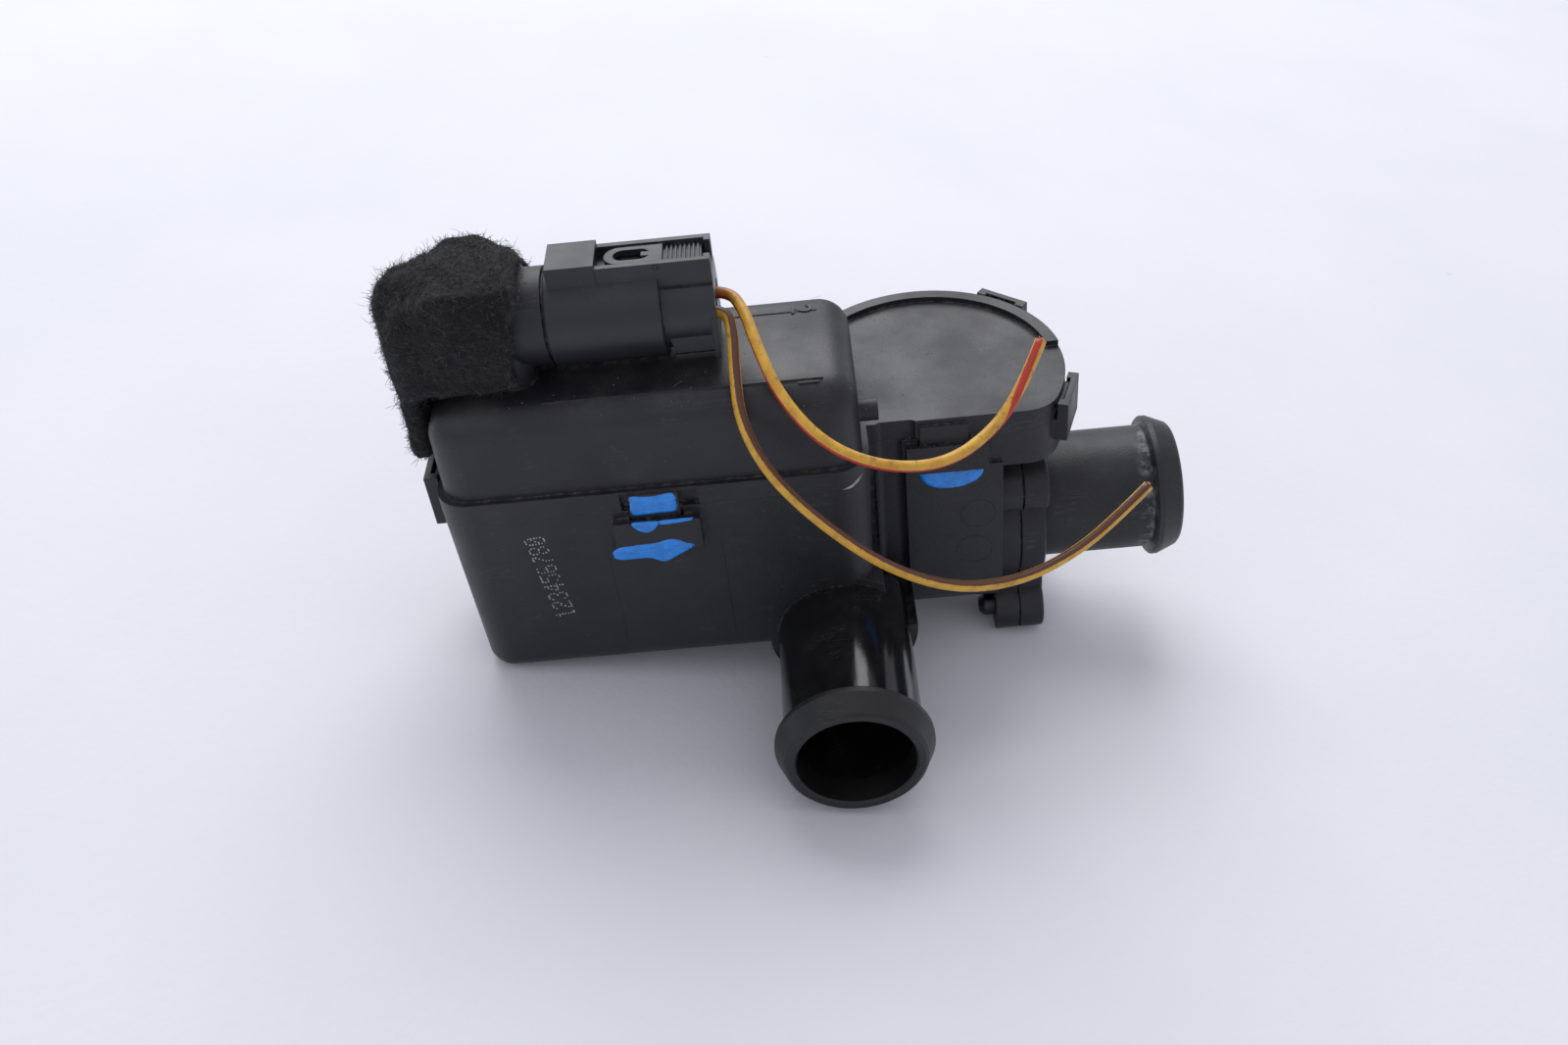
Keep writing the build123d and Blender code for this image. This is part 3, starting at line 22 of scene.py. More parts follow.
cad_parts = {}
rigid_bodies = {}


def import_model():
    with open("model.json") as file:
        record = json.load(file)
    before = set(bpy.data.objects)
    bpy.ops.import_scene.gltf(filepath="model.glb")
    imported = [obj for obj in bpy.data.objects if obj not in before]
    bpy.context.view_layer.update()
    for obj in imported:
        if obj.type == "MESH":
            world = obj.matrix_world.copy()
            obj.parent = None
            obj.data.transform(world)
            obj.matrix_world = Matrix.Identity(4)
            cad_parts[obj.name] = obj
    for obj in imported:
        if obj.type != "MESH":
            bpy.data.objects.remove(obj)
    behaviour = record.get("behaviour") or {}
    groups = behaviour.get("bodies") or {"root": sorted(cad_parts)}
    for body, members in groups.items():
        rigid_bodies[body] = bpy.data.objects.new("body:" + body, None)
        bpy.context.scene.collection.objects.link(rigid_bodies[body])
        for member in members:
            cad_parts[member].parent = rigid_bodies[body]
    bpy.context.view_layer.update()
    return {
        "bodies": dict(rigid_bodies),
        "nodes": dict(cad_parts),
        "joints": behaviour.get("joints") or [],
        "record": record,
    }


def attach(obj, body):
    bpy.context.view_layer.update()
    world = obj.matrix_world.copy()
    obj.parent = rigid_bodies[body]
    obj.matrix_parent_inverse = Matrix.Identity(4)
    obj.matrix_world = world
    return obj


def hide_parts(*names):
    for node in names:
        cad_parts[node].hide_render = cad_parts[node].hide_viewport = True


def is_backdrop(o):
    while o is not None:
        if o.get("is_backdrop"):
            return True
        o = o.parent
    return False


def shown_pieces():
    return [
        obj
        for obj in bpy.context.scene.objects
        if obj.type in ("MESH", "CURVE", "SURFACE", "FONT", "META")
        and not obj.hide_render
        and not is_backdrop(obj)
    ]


LOG = logging.getLogger("coolant_valve")
MM = 0.001
Colour = tuple[float, float, float]
Point = tuple[float, float, float]
Socket = bpy.types.NodeSocket


# ---- building nodes and meshes ------------------------------------------------------------
class Wiring:
    """A shader node tree under construction, with short calls that add and join nodes."""

    def __init__(self, tree: bpy.types.NodeTree) -> None:
        """Start from an empty tree.

        Args:
            tree: The node tree of a material or of a node group.
        """
        self.tree = tree
        tree.nodes.clear()

    @classmethod
    def over(cls, tree: bpy.types.NodeTree) -> "Wiring":
        """Carry on with a tree that already has nodes.

        Args:
            tree: The node tree, whose nodes stay.

        Returns:
            The wiring.
        """
        wiring = cls.__new__(cls)
        wiring.tree = tree
        return wiring

    def add(self, kind: str, **settings: object) -> bpy.types.Node:
        """Add a node and set its properties.

        Args:
            kind: Blender's name of the node type.
            settings: Properties of the node.

        Returns:
            The new node.
        """
        node = self.tree.nodes.new(kind)
        for name, value in settings.items():
            setattr(node, name, value)
        return node

    def feed(self, target: Socket, value: object) -> None:
        """Join a socket to an input, or set the input's own value.

        Args:
            target: The input.
            value: A socket to join, or the value to set.
        """
        if isinstance(value, bpy.types.NodeSocket):
            self.tree.links.new(value, target)
        else:
            target.default_value = value

    def calc(self, operation: str, *values: object, clamp: bool = False) -> Socket:
        """Add a Math node.

        Args:
            operation: Name of the operation, such as MULTIPLY.
            values: Sockets or numbers for its inputs, in order.
            clamp: Whether the result stays from 0 to 1.

        Returns:
            The result's socket.
        """
        node = self.add("ShaderNodeMath", operation=operation, use_clamp=clamp)
        for target, value in zip(node.inputs, values):
            self.feed(target, value)
        return node.outputs[0]

    def aim(self, operation: str, *values: object) -> Socket:
        """Add a Vector Math node.

        Args:
            operation: Name of the operation, such as DOT_PRODUCT.
            values: Sockets or vectors for its inputs, in order.

        Returns:
            The result's socket, which carries a number after a dot product, length or distance.
        """
        node = self.add("ShaderNodeVectorMath", operation=operation)
        for target, value in zip(node.inputs, values):
            self.feed(target, value)
        return node.outputs["Value" if operation in ("DOT_PRODUCT", "LENGTH", "DISTANCE") else "Vector"]

    def step(self, value: Socket, low: object, high: object, to_low: float = 0.0,
             to_high: float = 1.0) -> Socket:
        """Map a value smoothly from one range onto another.

        Args:
            value: The value that is mapped.
            low: Where the step starts.
            high: Where the step ends.
            to_low: Result before the step.
            to_high: Result after the step.

        Returns:
            The mapped value's socket.
        """
        node = self.add("ShaderNodeMapRange", interpolation_type="SMOOTHSTEP")
        for name, given in (("Value", value), ("From Min", low), ("From Max", high), ("To Min", to_low),
                            ("To Max", to_high)):
            self.feed(node.inputs[name], given)
        return node.outputs["Result"]

    def blend(self, share: object, first: object, second: object) -> Socket:
        """Mix two colours.

        Args:
            share: How much of the second colour shows.
            first: Colour or socket at share 0.
            second: Colour or socket at share 1.

        Returns:
            The mixed colour's socket.
        """
        node = self.add("ShaderNodeMix", data_type="RGBA")
        self.feed(node.inputs[0], share)
        for target, value in ((node.inputs[6], first), (node.inputs[7], second)):
            self.feed(target, value if isinstance(value, bpy.types.NodeSocket) else (*value, 1.0))
        return node.outputs[2]

    def cloud(self, where: Socket, scale: object, detail: float = 3.0, rough: float = 0.55) -> Socket:
        """Add a noise texture.

        Args:
            where: Coordinates in metres.
            scale: Lumps per metre.
            detail: Number of octaves.
            rough: Share that each finer octave keeps.

        Returns:
            The noise value's socket, from 0 to 1 about 0.5.
        """
        node = self.add("ShaderNodeTexNoise")
        self.feed(node.inputs["Vector"], where)
        self.feed(node.inputs["Scale"], scale)
        node.inputs["Detail"].default_value = detail
        node.inputs["Roughness"].default_value = rough
        return node.outputs["Fac"]

    def place(self) -> Socket:
        """Coordinates of the shaded point in its piece's own space, in metres."""
        return self.add("ShaderNodeTexCoord").outputs["Object"]


class Effect(Enum):
    """Shader effects that several finishes share, each a node group built once."""

    GRAIN = "moulded_grain"
    WEAR = "edge_wear"
    DUST = "settled_dust"
    SCUFF = "fine_scuffs"


class EffectGroups:
    """Builds the shared node groups and places them in materials."""

    @staticmethod
    def _open(effect: Effect, inputs: Sequence[tuple[str, float]],
              outputs: Sequence[tuple[str, str]]) -> tuple[Wiring, dict[str, Socket], bpy.types.Node]:
        """Create a group with its sockets.

        Args:
            effect: The effect that the group makes.
            inputs: Name and usual value of each number that goes in.
            outputs: Name and socket type of each result.

        Returns:
            The wiring, the inputs' sockets by name, and the output node.
        """
        group = bpy.data.node_groups.new(effect.value, "ShaderNodeTree")
        for name, usual in inputs:
            group.interface.new_socket(name=name, in_out="INPUT",
                                       socket_type="NodeSocketFloat").default_value = usual
        for name, kind in outputs:
            group.interface.new_socket(name=name, in_out="OUTPUT", socket_type=kind)
        wiring = Wiring(group)
        entry = wiring.add("NodeGroupInput")
        return wiring, {name: entry.outputs[name] for name, _ in inputs}, wiring.add("NodeGroupOutput")

    @classmethod
    def build(cls) -> None:
        """Build every group once."""
        cls._grain()
        cls._wear()
        cls._dust()
        cls._scuff()

    @classmethod
    def _grain(cls) -> None:
        """Fine eroded texture of a mould wall, with slow flow marks."""
        w, given, out = cls._open(Effect.GRAIN, [("Scale", 3500.0), ("Flow", 0.3)],
                                  [("Height", "NodeSocketFloat"), ("Mottle", "NodeSocketFloat")])
        where = w.place()
        fine = w.cloud(where, given["Scale"], 4.0, 0.65)
        slow = w.cloud(where, w.calc("MULTIPLY", given["Scale"], 0.035), 3.0, 0.5)
        pit = w.add("ShaderNodeTexVoronoi", feature="F1")
        w.feed(pit.inputs["Vector"], where)
        w.feed(pit.inputs["Scale"], w.calc("MULTIPLY", given["Scale"], 0.45))
        pits = w.step(pit.outputs["Distance"], 0.05, 0.35)
        w.feed(out.inputs["Height"],
               w.calc("ADD", w.calc("MULTIPLY", fine, pits), w.calc("MULTIPLY", slow, given["Flow"])))
        w.feed(out.inputs["Mottle"], w.step(slow, 0.35, 0.65))

    @classmethod
    def _wear(cls) -> None:
        """Softened sharp edges and the rubbed line along them."""
        w, given, out = cls._open(Effect.WEAR, [("Radius", 0.00025), ("Amount", 0.5)],
                                  [("Mask", "NodeSocketFloat"), ("Normal", "NodeSocketVector")])
        bevel = w.add("ShaderNodeBevel", samples=4)
        w.feed(bevel.inputs["Radius"], given["Radius"])
        face = w.add("ShaderNodeNewGeometry").outputs["Normal"]
        along = w.aim("DOT_PRODUCT", bevel.outputs["Normal"], face)
        edge = w.step(w.calc("SUBTRACT", 1.0, along), 0.02, 0.22)
        patches = w.step(w.cloud(w.place(), 260.0, 5.0, 0.7), 0.42, 0.72)
        w.feed(out.inputs["Mask"],
               w.calc("MULTIPLY", w.calc("MULTIPLY", edge, patches), given["Amount"], clamp=True))
        w.feed(out.inputs["Normal"], bevel.outputs["Normal"])

    @classmethod
    def _dust(cls) -> None:
        """Pale dust that lies in creases and, thinner, on faces that look up."""
        w, given, out = cls._open(Effect.DUST, [("Creases", 0.5), ("Film", 0.2), ("Reach", 0.0012)],
                                  [("Mask", "NodeSocketFloat")])
        hollow = w.add("ShaderNodeAmbientOcclusion", samples=4, only_local=False)
        w.feed(hollow.inputs["Distance"], given["Reach"])
        where = w.place()
        crease = w.step(hollow.outputs["AO"], 0.75, 0.25)
        broken = w.step(w.cloud(where, 900.0, 4.0, 0.7), 0.45, 0.62)
        up = w.aim("DOT_PRODUCT", w.add("ShaderNodeNewGeometry").outputs["Normal"], (0.18, 0.01, 0.98))
        patches = w.step(w.cloud(where, 120.0, 6.0, 0.72), 0.40, 0.72)
        lying = w.calc("MULTIPLY", w.step(up, 0.35, 0.98), patches)
        specks = w.add("ShaderNodeTexVoronoi", feature="F1")
        w.feed(specks.inputs["Vector"], where)
        specks.inputs["Scale"].default_value = 700.0
        dot = w.calc("MULTIPLY", w.step(specks.outputs["Distance"], 0.13, 0.06),
                     w.step(w.cloud(where, 210.0, 2.0), 0.5, 0.62))
        film = w.calc("MULTIPLY", w.calc("ADD", lying, w.calc("MULTIPLY", dot, 1.6)), given["Film"])
        rim = w.calc("MULTIPLY", w.calc("MULTIPLY", crease, broken), given["Creases"])
        w.feed(out.inputs["Mask"], w.calc("ADD", film, rim, clamp=True))

    @classmethod
    def _scuff(cls) -> None:
        """Hair-fine scratches that run in a few directions, in patches."""
        w, given, out = cls._open(Effect.SCUFF, [("Spacing", 500.0), ("Amount", 0.5)],
                                  [("Mask", "NodeSocketFloat")])
        where = w.place()
        lines: Socket | None = None
        for turn, stretch in ((0.4, 14.0), (1.9, 20.0), (2.7, 10.0)):
            turned = w.add("ShaderNodeMapping")
            w.feed(turned.inputs["Vector"], where)
            turned.inputs["Rotation"].default_value = (turn * 0.6, turn * 0.3, turn)
            turned.inputs["Scale"].default_value = (1.0, stretch, stretch)
            wisp = w.cloud(turned.outputs["Vector"], w.calc("MULTIPLY", given["Spacing"], 0.14), 2.0, 0.4)
            line = w.step(w.calc("ABSOLUTE", w.calc("SUBTRACT", wisp, 0.5)), 0.012, 0.0)
            lines = line if lines is None else w.calc("MAXIMUM", lines, line)
        patch = w.step(w.cloud(where, 150.0, 3.0), 0.52, 0.68)
        w.feed(out.inputs["Mask"],
               w.calc("MULTIPLY", w.calc("MULTIPLY", lines, patch), given["Amount"], clamp=True))

    @staticmethod
    def use(wiring: Wiring, effect: Effect, **values: float) -> bpy.types.Node:
        """Place a shared group in a material with the material's own values.

        Args:
            wiring: The material's wiring.
            effect: Which group.
            values: Its inputs, by name.

        Returns:
            The group node.
        """
        node = wiring.add("ShaderNodeGroup", node_tree=bpy.data.node_groups[effect.value])
        for name, value in values.items():
            wiring.feed(node.inputs[name], value)
        return node


def new_material(name: str) -> tuple[bpy.types.Material, Wiring, bpy.types.Node]:
    """Make a material with only a Principled shader.

    Args:
        name: The material's name.

    Returns:
        The material, its wiring and the shader node.
    """
    material = bpy.data.materials.new(name)
    material.use_nodes = True
    wiring = Wiring(material.node_tree)
    shader = wiring.add("ShaderNodeBsdfPrincipled")
    wiring.feed(wiring.add("ShaderNodeOutputMaterial").inputs["Surface"], shader.outputs[0])
    return material, wiring, shader


def bump(wiring: Wiring, height: Socket, depth: float, under: Socket | None = None) -> Socket:
    """Turn a height into a normal.

    Args:
        wiring: The material's wiring.
        height: Height from 0 to 1.
        depth: How deep that height is, in metres.
        under: Normal that the bump is added to.

    Returns:
        The normal's socket.
    """
    node = wiring.add("ShaderNodeBump")
    node.inputs["Distance"].default_value = depth
    wiring.feed(node.inputs["Height"], height)
    if under is not None:
        wiring.feed(node.inputs["Normal"], under)
    return node.outputs["Normal"]


# ---- finishes -----------------------------------------------------------------------------
@dataclass(frozen=True)
class MouldedFinish:
    """Moulded plastic or rubber with grain, rubbed edges, dust and scuffs."""

    name: str
    colour: Colour
    pale: Colour
    rough: float
    rough_spread: float = 0.08
    grain_scale: float = 3500.0
    grain_depth: float = 0.000035
    edge: float = 0.00022
    wear: float = 0.35
    wear_colour: Colour = (0.16, 0.16, 0.17)
    creases: float = 0.35
    film: float = 0.12
    dust_colour: Colour = (0.34, 0.33, 0.31)
    scuffs: float = 0.25
    gloss: float = 0.5

    def build(self) -> bpy.types.Material:
        """Build the material.

        Returns:
            The material.
        """
        material, w, shader = new_material(self.name)
        grain = EffectGroups.use(w, Effect.GRAIN, Scale=self.grain_scale)
        wear = EffectGroups.use(w, Effect.WEAR, Radius=self.edge, Amount=self.wear)
        dust = EffectGroups.use(w, Effect.DUST, Creases=self.creases, Film=self.film)
        scuff = EffectGroups.use(w, Effect.SCUFF, Amount=self.scuffs)
        body = w.blend(grain.outputs["Mottle"], self.colour, self.pale)
        worn = w.blend(wear.outputs["Mask"], body, self.wear_colour)
        scratched = w.blend(w.calc("MULTIPLY", scuff.outputs["Mask"], 0.5), worn, self.wear_colour)
        w.feed(shader.inputs["Base Color"], w.blend(dust.outputs["Mask"], scratched, self.dust_colour))
        smear = w.cloud(w.place(), 70.0, 4.0, 0.6)
        rough = w.step(smear, 0.3, 0.7, self.rough - self.rough_spread, self.rough + self.rough_spread)
        dusty = w.calc("MULTIPLY_ADD", dust.outputs["Mask"], 0.35, rough)
        w.feed(shader.inputs["Roughness"],
               w.calc("MULTIPLY_ADD", scuff.outputs["Mask"], 0.12, dusty, clamp=True))
        shader.inputs["Specular IOR Level"].default_value = self.gloss
        w.feed(shader.inputs["Normal"],
               bump(w, grain.outputs["Height"], self.grain_depth, wear.outputs["Normal"]))
        return material


@dataclass(frozen=True)
class MetalFinish:
    """Turned, drawn or stamped metal."""

    name: str
    colour: Colour
    tarnish: Colour
    rough: float
    turned: float = 0.5

    def build(self) -> bpy.types.Material:
        """Build the material.

        Returns:
            The material.
        """
        material, w, shader = new_material(self.name)
        where = w.place()
        stretched = w.add("ShaderNodeMapping")
        w.feed(stretched.inputs["Vector"], where)
        stretched.inputs["Scale"].default_value = (1.0, 1.0, 40.0)
        fine = w.cloud(stretched.outputs["Vector"], 400.0, 4.0, 0.6)
        stain = w.step(w.cloud(where, 300.0, 4.0, 0.65), 0.5, 0.72)
        wear = EffectGroups.use(w, Effect.WEAR, Radius=0.00012, Amount=0.6)
        stained = w.blend(w.calc("MULTIPLY", stain, 0.7), self.colour, self.tarnish)
        w.feed(shader.inputs["Base Color"], stained)
        shader.inputs["Metallic"].default_value = 1.0
        w.feed(shader.inputs["Roughness"], w.step(fine, 0.3, 0.7, self.rough - 0.08, self.rough + 0.12))
        w.feed(shader.inputs["Normal"], bump(w, fine, 0.00001 * self.turned, wear.outputs["Normal"]))
        return material


@dataclass(frozen=True)
class SpigotFinish(MouldedFinish):
    """Moulded hose tube whose bead and the ring behind it carry their own look.

    The tube runs along one axis; places along it are in metres.
    """

    along: str = "X"
    bead: tuple[float, float] = (0.0215, 0.0265)
    bead_rough: float = 0.45
    ring: tuple[float, float] = (0.0165, 0.0222)
    ring_amount: float = 0.0
    chalk: Colour = (0.30, 0.30, 0.30)

    def build(self) -> bpy.types.Material:
        """Build the moulded finish, then add the ring of chalky scuffs and the bead's own roughness.

        Returns:
            The material.
        """
        material = super().build()
        w = Wiring.over(material.node_tree)
        shader = next(n for n in material.node_tree.nodes if n.type == "BSDF_PRINCIPLED")
        axes = w.add("ShaderNodeSeparateXYZ")
        w.feed(axes.inputs[0], w.place())
        place = axes.outputs[self.along]
        place = w.calc("MULTIPLY", place, -1.0) if self.along == "Y" else place
        near, far = self.ring
        band = w.calc("MULTIPLY", w.step(place, near, near + 0.0022), w.step(place, far, far - 0.0008))
        torn = w.step(w.cloud(w.place(), 520.0, 6.0, 0.75), 0.44, 0.62)
        chalky = w.calc("MULTIPLY", w.calc("MULTIPLY", band, torn), self.ring_amount, clamp=True)
        colour = shader.inputs["Base Color"].links[0].from_socket
        w.feed(shader.inputs["Base Color"], w.blend(chalky, colour, self.chalk))
        on_bead = w.step(place, self.bead[0], self.bead[0] + 0.0004)
        rough = shader.inputs["Roughness"].links[0].from_socket
        mix = w.add("ShaderNodeMix", data_type="FLOAT")
        w.feed(mix.inputs[0], on_bead)
        w.feed(mix.inputs[2], rough)
        mix.inputs[3].default_value = self.bead_rough
        w.feed(shader.inputs["Roughness"], mix.outputs[0])
        return material


@dataclass(frozen=True)
class FeltFinish:
    """Black needle felt with a faint brown cast and a fuzzy nap."""

    name: str = "felt"
    dark: Colour = (0.0035, 0.0035, 0.0042)
    pale: Colour = (0.010, 0.0098, 0.0105)

    def build(self) -> bpy.types.Material:
        """Build the material.

        Returns:
            The material.
        """
        material, w, shader = new_material(self.name)
        where = w.place()
        clump = w.step(w.cloud(where, 900.0, 5.0, 0.7), 0.35, 0.7)
        w.feed(shader.inputs["Base Color"], w.blend(clump, self.dark, self.pale))
        shader.inputs["Roughness"].default_value = 0.92
        shader.inputs["Specular IOR Level"].default_value = 0.15
        shader.inputs["Sheen Weight"].default_value = 0.15
        shader.inputs["Sheen Roughness"].default_value = 0.6
        fuzz = w.calc("MULTIPLY_ADD", w.cloud(where, 2600.0, 5.0, 0.75), 0.6, clump)
        w.feed(shader.inputs["Normal"], bump(w, fuzz, 0.00025))
        return material


@dataclass(frozen=True)
class PlainFinish:
    """Even colour with a little grain, for small parts, print and fibres."""

    name: str
    colour: Colour
    rough: float
    metal: float = 0.0
    coat: float = 0.0
    grain: float = 0.00001
    vary: float = 0.25

    def build(self) -> bpy.types.Material:
        """Build the material.

        Returns:
            The material.
        """
        material, w, shader = new_material(self.name)
        cloud = w.cloud(w.place(), 700.0, 4.0, 0.6)
        darker = tuple(c * (1.0 - self.vary) for c in self.colour)
        w.feed(shader.inputs["Base Color"], w.blend(w.step(cloud, 0.35, 0.65), darker, self.colour))
        w.feed(shader.inputs["Roughness"],
               w.step(cloud, 0.3, 0.7, self.rough * 0.85, min(1.0, self.rough * 1.15)))
        shader.inputs["Metallic"].default_value = self.metal
        shader.inputs["Coat Weight"].default_value = self.coat
        shader.inputs["Coat Roughness"].default_value = 0.08
        w.feed(shader.inputs["Normal"], bump(w, w.cloud(w.place(), 4000.0, 3.0), self.grain))
        return material


@dataclass(frozen=True)
class SheathFinish:
    """Yellow wire sheath with one coloured stripe, handled and a little grimy."""

    name: str
    stripe: Colour
    sheath: Colour = (0.70, 0.40, 0.045)
    shade: Colour = (0.56, 0.29, 0.03)
    grime: Colour = (0.10, 0.055, 0.02)
    stain: Colour = (0.33, 0.07, 0.02)
    stain_reach: float = 0.0

    def build(self) -> bpy.types.Material:
        """Build the material.

        Returns:
            The material.
        """
        material, w, shader = new_material(self.name)
        side = w.add("ShaderNodeAttribute", attribute_name="stripe_side").outputs["Fac"]
        reach = w.add("ShaderNodeAttribute", attribute_name="reach").outputs["Fac"]
        where = w.place()
        ragged = w.calc("MULTIPLY_ADD", w.cloud(where, 2600.0, 3.0), 0.14, side)
        striped = w.step(ragged, 0.80, 0.88)
        sheath = w.blend(w.step(w.cloud(where, 420.0, 4.0, 0.6), 0.35, 0.68), self.sheath, self.shade)
        marked = w.blend(striped, sheath, self.stripe)
        soiled = w.blend(w.calc("MULTIPLY", w.step(w.cloud(where, 640.0, 5.0, 0.72), 0.52, 0.74), 0.7),
                         marked, self.grime)
        near = w.calc("MULTIPLY", w.step(reach, self.stain_reach, self.stain_reach * 0.45), 0.75)
        w.feed(shader.inputs["Base Color"], w.blend(near, soiled, self.stain) if self.stain_reach else soiled)
        w.feed(shader.inputs["Roughness"], w.step(w.cloud(where, 800.0, 4.0), 0.3, 0.7, 0.30, 0.52))
        shader.inputs["Subsurface Weight"].default_value = 0.06
        shader.inputs["Subsurface Scale"].default_value = 0.0006
        w.feed(shader.inputs["Normal"], bump(w, w.cloud(where, 1500.0, 4.0, 0.65), 0.00003))
        return material


# ---- camera, floor and light --------------------------------------------------------------
@dataclass
class Camera:
    """The camera, placed in the CAD frame.

    Focal length, sensor width and place are in millimetres, angles in degrees.
    """

    focal: float = 34.035
    sensor: float = 36.0
    place: Point = (-29.91, -187.66, 158.98)
    pitch: float = 40.4404
    yaw: float = -2.2465
    roll: float = -6.6547

    def build(self) -> bpy.types.Object:
        """Create the camera and make it the scene's.

        Returns:
            The camera object.
        """
        level = Matrix(((1, 0, 0), (0, 0, -1), (0, 1, 0)))
        nod = Matrix.Rotation(math.radians(self.pitch), 3, "X")
        lean = Matrix.Rotation(math.radians(self.roll), 3, "Z")
        turn = Matrix.Rotation(math.radians(self.yaw), 3, "Z")
        right, down, ahead = lean @ nod @ level @ turn
        axes = Matrix((right, -down, -ahead)).transposed()
        data = bpy.data.cameras.new("camera")
        data.lens = self.focal
        data.sensor_width = self.sensor
        data.sensor_fit = "HORIZONTAL"
        data.clip_start = 0.01
        data.clip_end = 20.0
        camera = bpy.data.objects.new("camera", data)
        camera.matrix_world = Matrix.Translation(Vector(self.place) * MM) @ axes.to_4x4()
        bpy.context.scene.collection.objects.link(camera)
        bpy.context.scene.camera = camera
        return camera


@dataclass
class Studio:
    """Pale floor under the three points that the valve lies on, pale surroundings and soft light.

    Lengths are in metres.  A lamp has a name, a place, a diameter, a power in watts and a colour.
    """

    radius: float = 3.0
    middle: Point = (-0.03, -0.02, 0.0)
    tub_end: float = -0.07
    air: Colour = (0.81, 0.82, 0.90)
    air_strength: float = 0.68
    leaning: Point = (0.18, 0.0146, 0.983)
    lamps: tuple[tuple[str, Point, float, float, Colour], ...] = (
        ("key", (-0.05, 0.80, 0.92), 1.1, 10.5, (0.975, 0.98, 1.0)),
        ("fill", (-0.50, -0.50, 0.70), 0.8, 0.5, (0.95, 0.96, 1.0)),
    )

    def lying_plane(self, frame: dict) -> tuple[Vector, Vector]:
        """Find the plane that the valve lies on.

        Args:
            frame: The loaded frame.

        Returns:
            A point of the plane and its upward normal.
        """
        groups = []
        for name, right_edge in (("lower_housing", self.tub_end), ("inlet_spigot", math.inf),
                                 ("outlet_spigot", math.inf)):
            vertices = frame["nodes"][name].data.vertices
            groups.append([v.co.copy() for v in vertices if v.co.x < right_edge])
        normal = Vector(self.leaning).normalized()
        for _ in range(6):
            low = [min(points, key=lambda p: p.dot(normal)) for points in groups]
            normal = (low[1] - low[0]).cross(low[2] - low[0]).normalized()
            normal = normal if normal.z > 0 else -normal
        return low[1], normal

    def build(self, frame: dict) -> None:
        """Make the floor, the surroundings and the lamps.

        Args:
            frame: The loaded frame.
        """
        point, normal = self.lying_plane(frame)
        middle = Vector(self.middle)
        centre = middle - normal * (middle - point).dot(normal)
        mesh = bpy.data.meshes.new("table_top")
        bm = bmesh.new()
        bmesh.ops.create_circle(bm, cap_ends=True, radius=self.radius, segments=96)
        bm.to_mesh(mesh)
        bm.free()
        floor = bpy.data.objects.new("table_top", mesh)
        floor.matrix_world = Matrix.Translation(centre) @ normal.to_track_quat("Z", "Y").to_matrix().to_4x4()
        bpy.context.scene.collection.objects.link(floor)
        mesh.materials.append(self._floor_material())
        floor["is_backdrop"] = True
        world = bpy.data.worlds.new("surroundings")
        world.use_nodes = True
        air = world.node_tree.nodes["Background"]
        air.inputs["Color"].default_value = (*self.air, 1.0)
        air.inputs["Strength"].default_value = self.air_strength
        bpy.context.scene.world = world
        for name, place, size, power, colour in self.lamps:
            light = bpy.data.lights.new(name, "AREA")
            light.shape = "DISK"
            light.size = size
            light.energy = power
            light.color = colour
            lamp = bpy.data.objects.new(name, light)
            lamp.location = place
            lamp.rotation_euler = (centre - Vector(place)).to_track_quat("-Z", "Y").to_euler()
            bpy.context.scene.collection.objects.link(lamp)
        bpy.context.scene.view_settings.view_transform = "Standard"

    def _floor_material(self) -> bpy.types.Material:
        """Matt pale board with faint unevenness and a few specks.

        Returns:
            The material.
        """
        material, w, shader = new_material("pale_board")
        where = w.place()
        uneven = w.step(w.cloud(where, 9.0, 4.0, 0.6), 0.3, 0.7)
        board = w.blend(uneven, (0.785, 0.79, 0.84), (0.82, 0.825, 0.865))
        speck = w.add("ShaderNodeTexVoronoi", feature="F1")
        w.feed(speck.inputs["Vector"], where)
        speck.inputs["Scale"].default_value = 26.0
        dot = w.calc("MULTIPLY", w.step(speck.outputs["Distance"], 0.05, 0.02),
                     w.step(w.cloud(where, 60.0, 2.0), 0.55, 0.6))
        w.feed(shader.inputs["Base Color"], w.blend(w.calc("MULTIPLY", dot, 0.3), board, (0.3, 0.3, 0.32)))
        shader.inputs["Roughness"].default_value = 0.75
        shader.inputs["Specular IOR Level"].default_value = 0.2
        w.feed(shader.inputs["Normal"], bump(w, w.cloud(where, 500.0, 3.0), 0.00008))
        return material


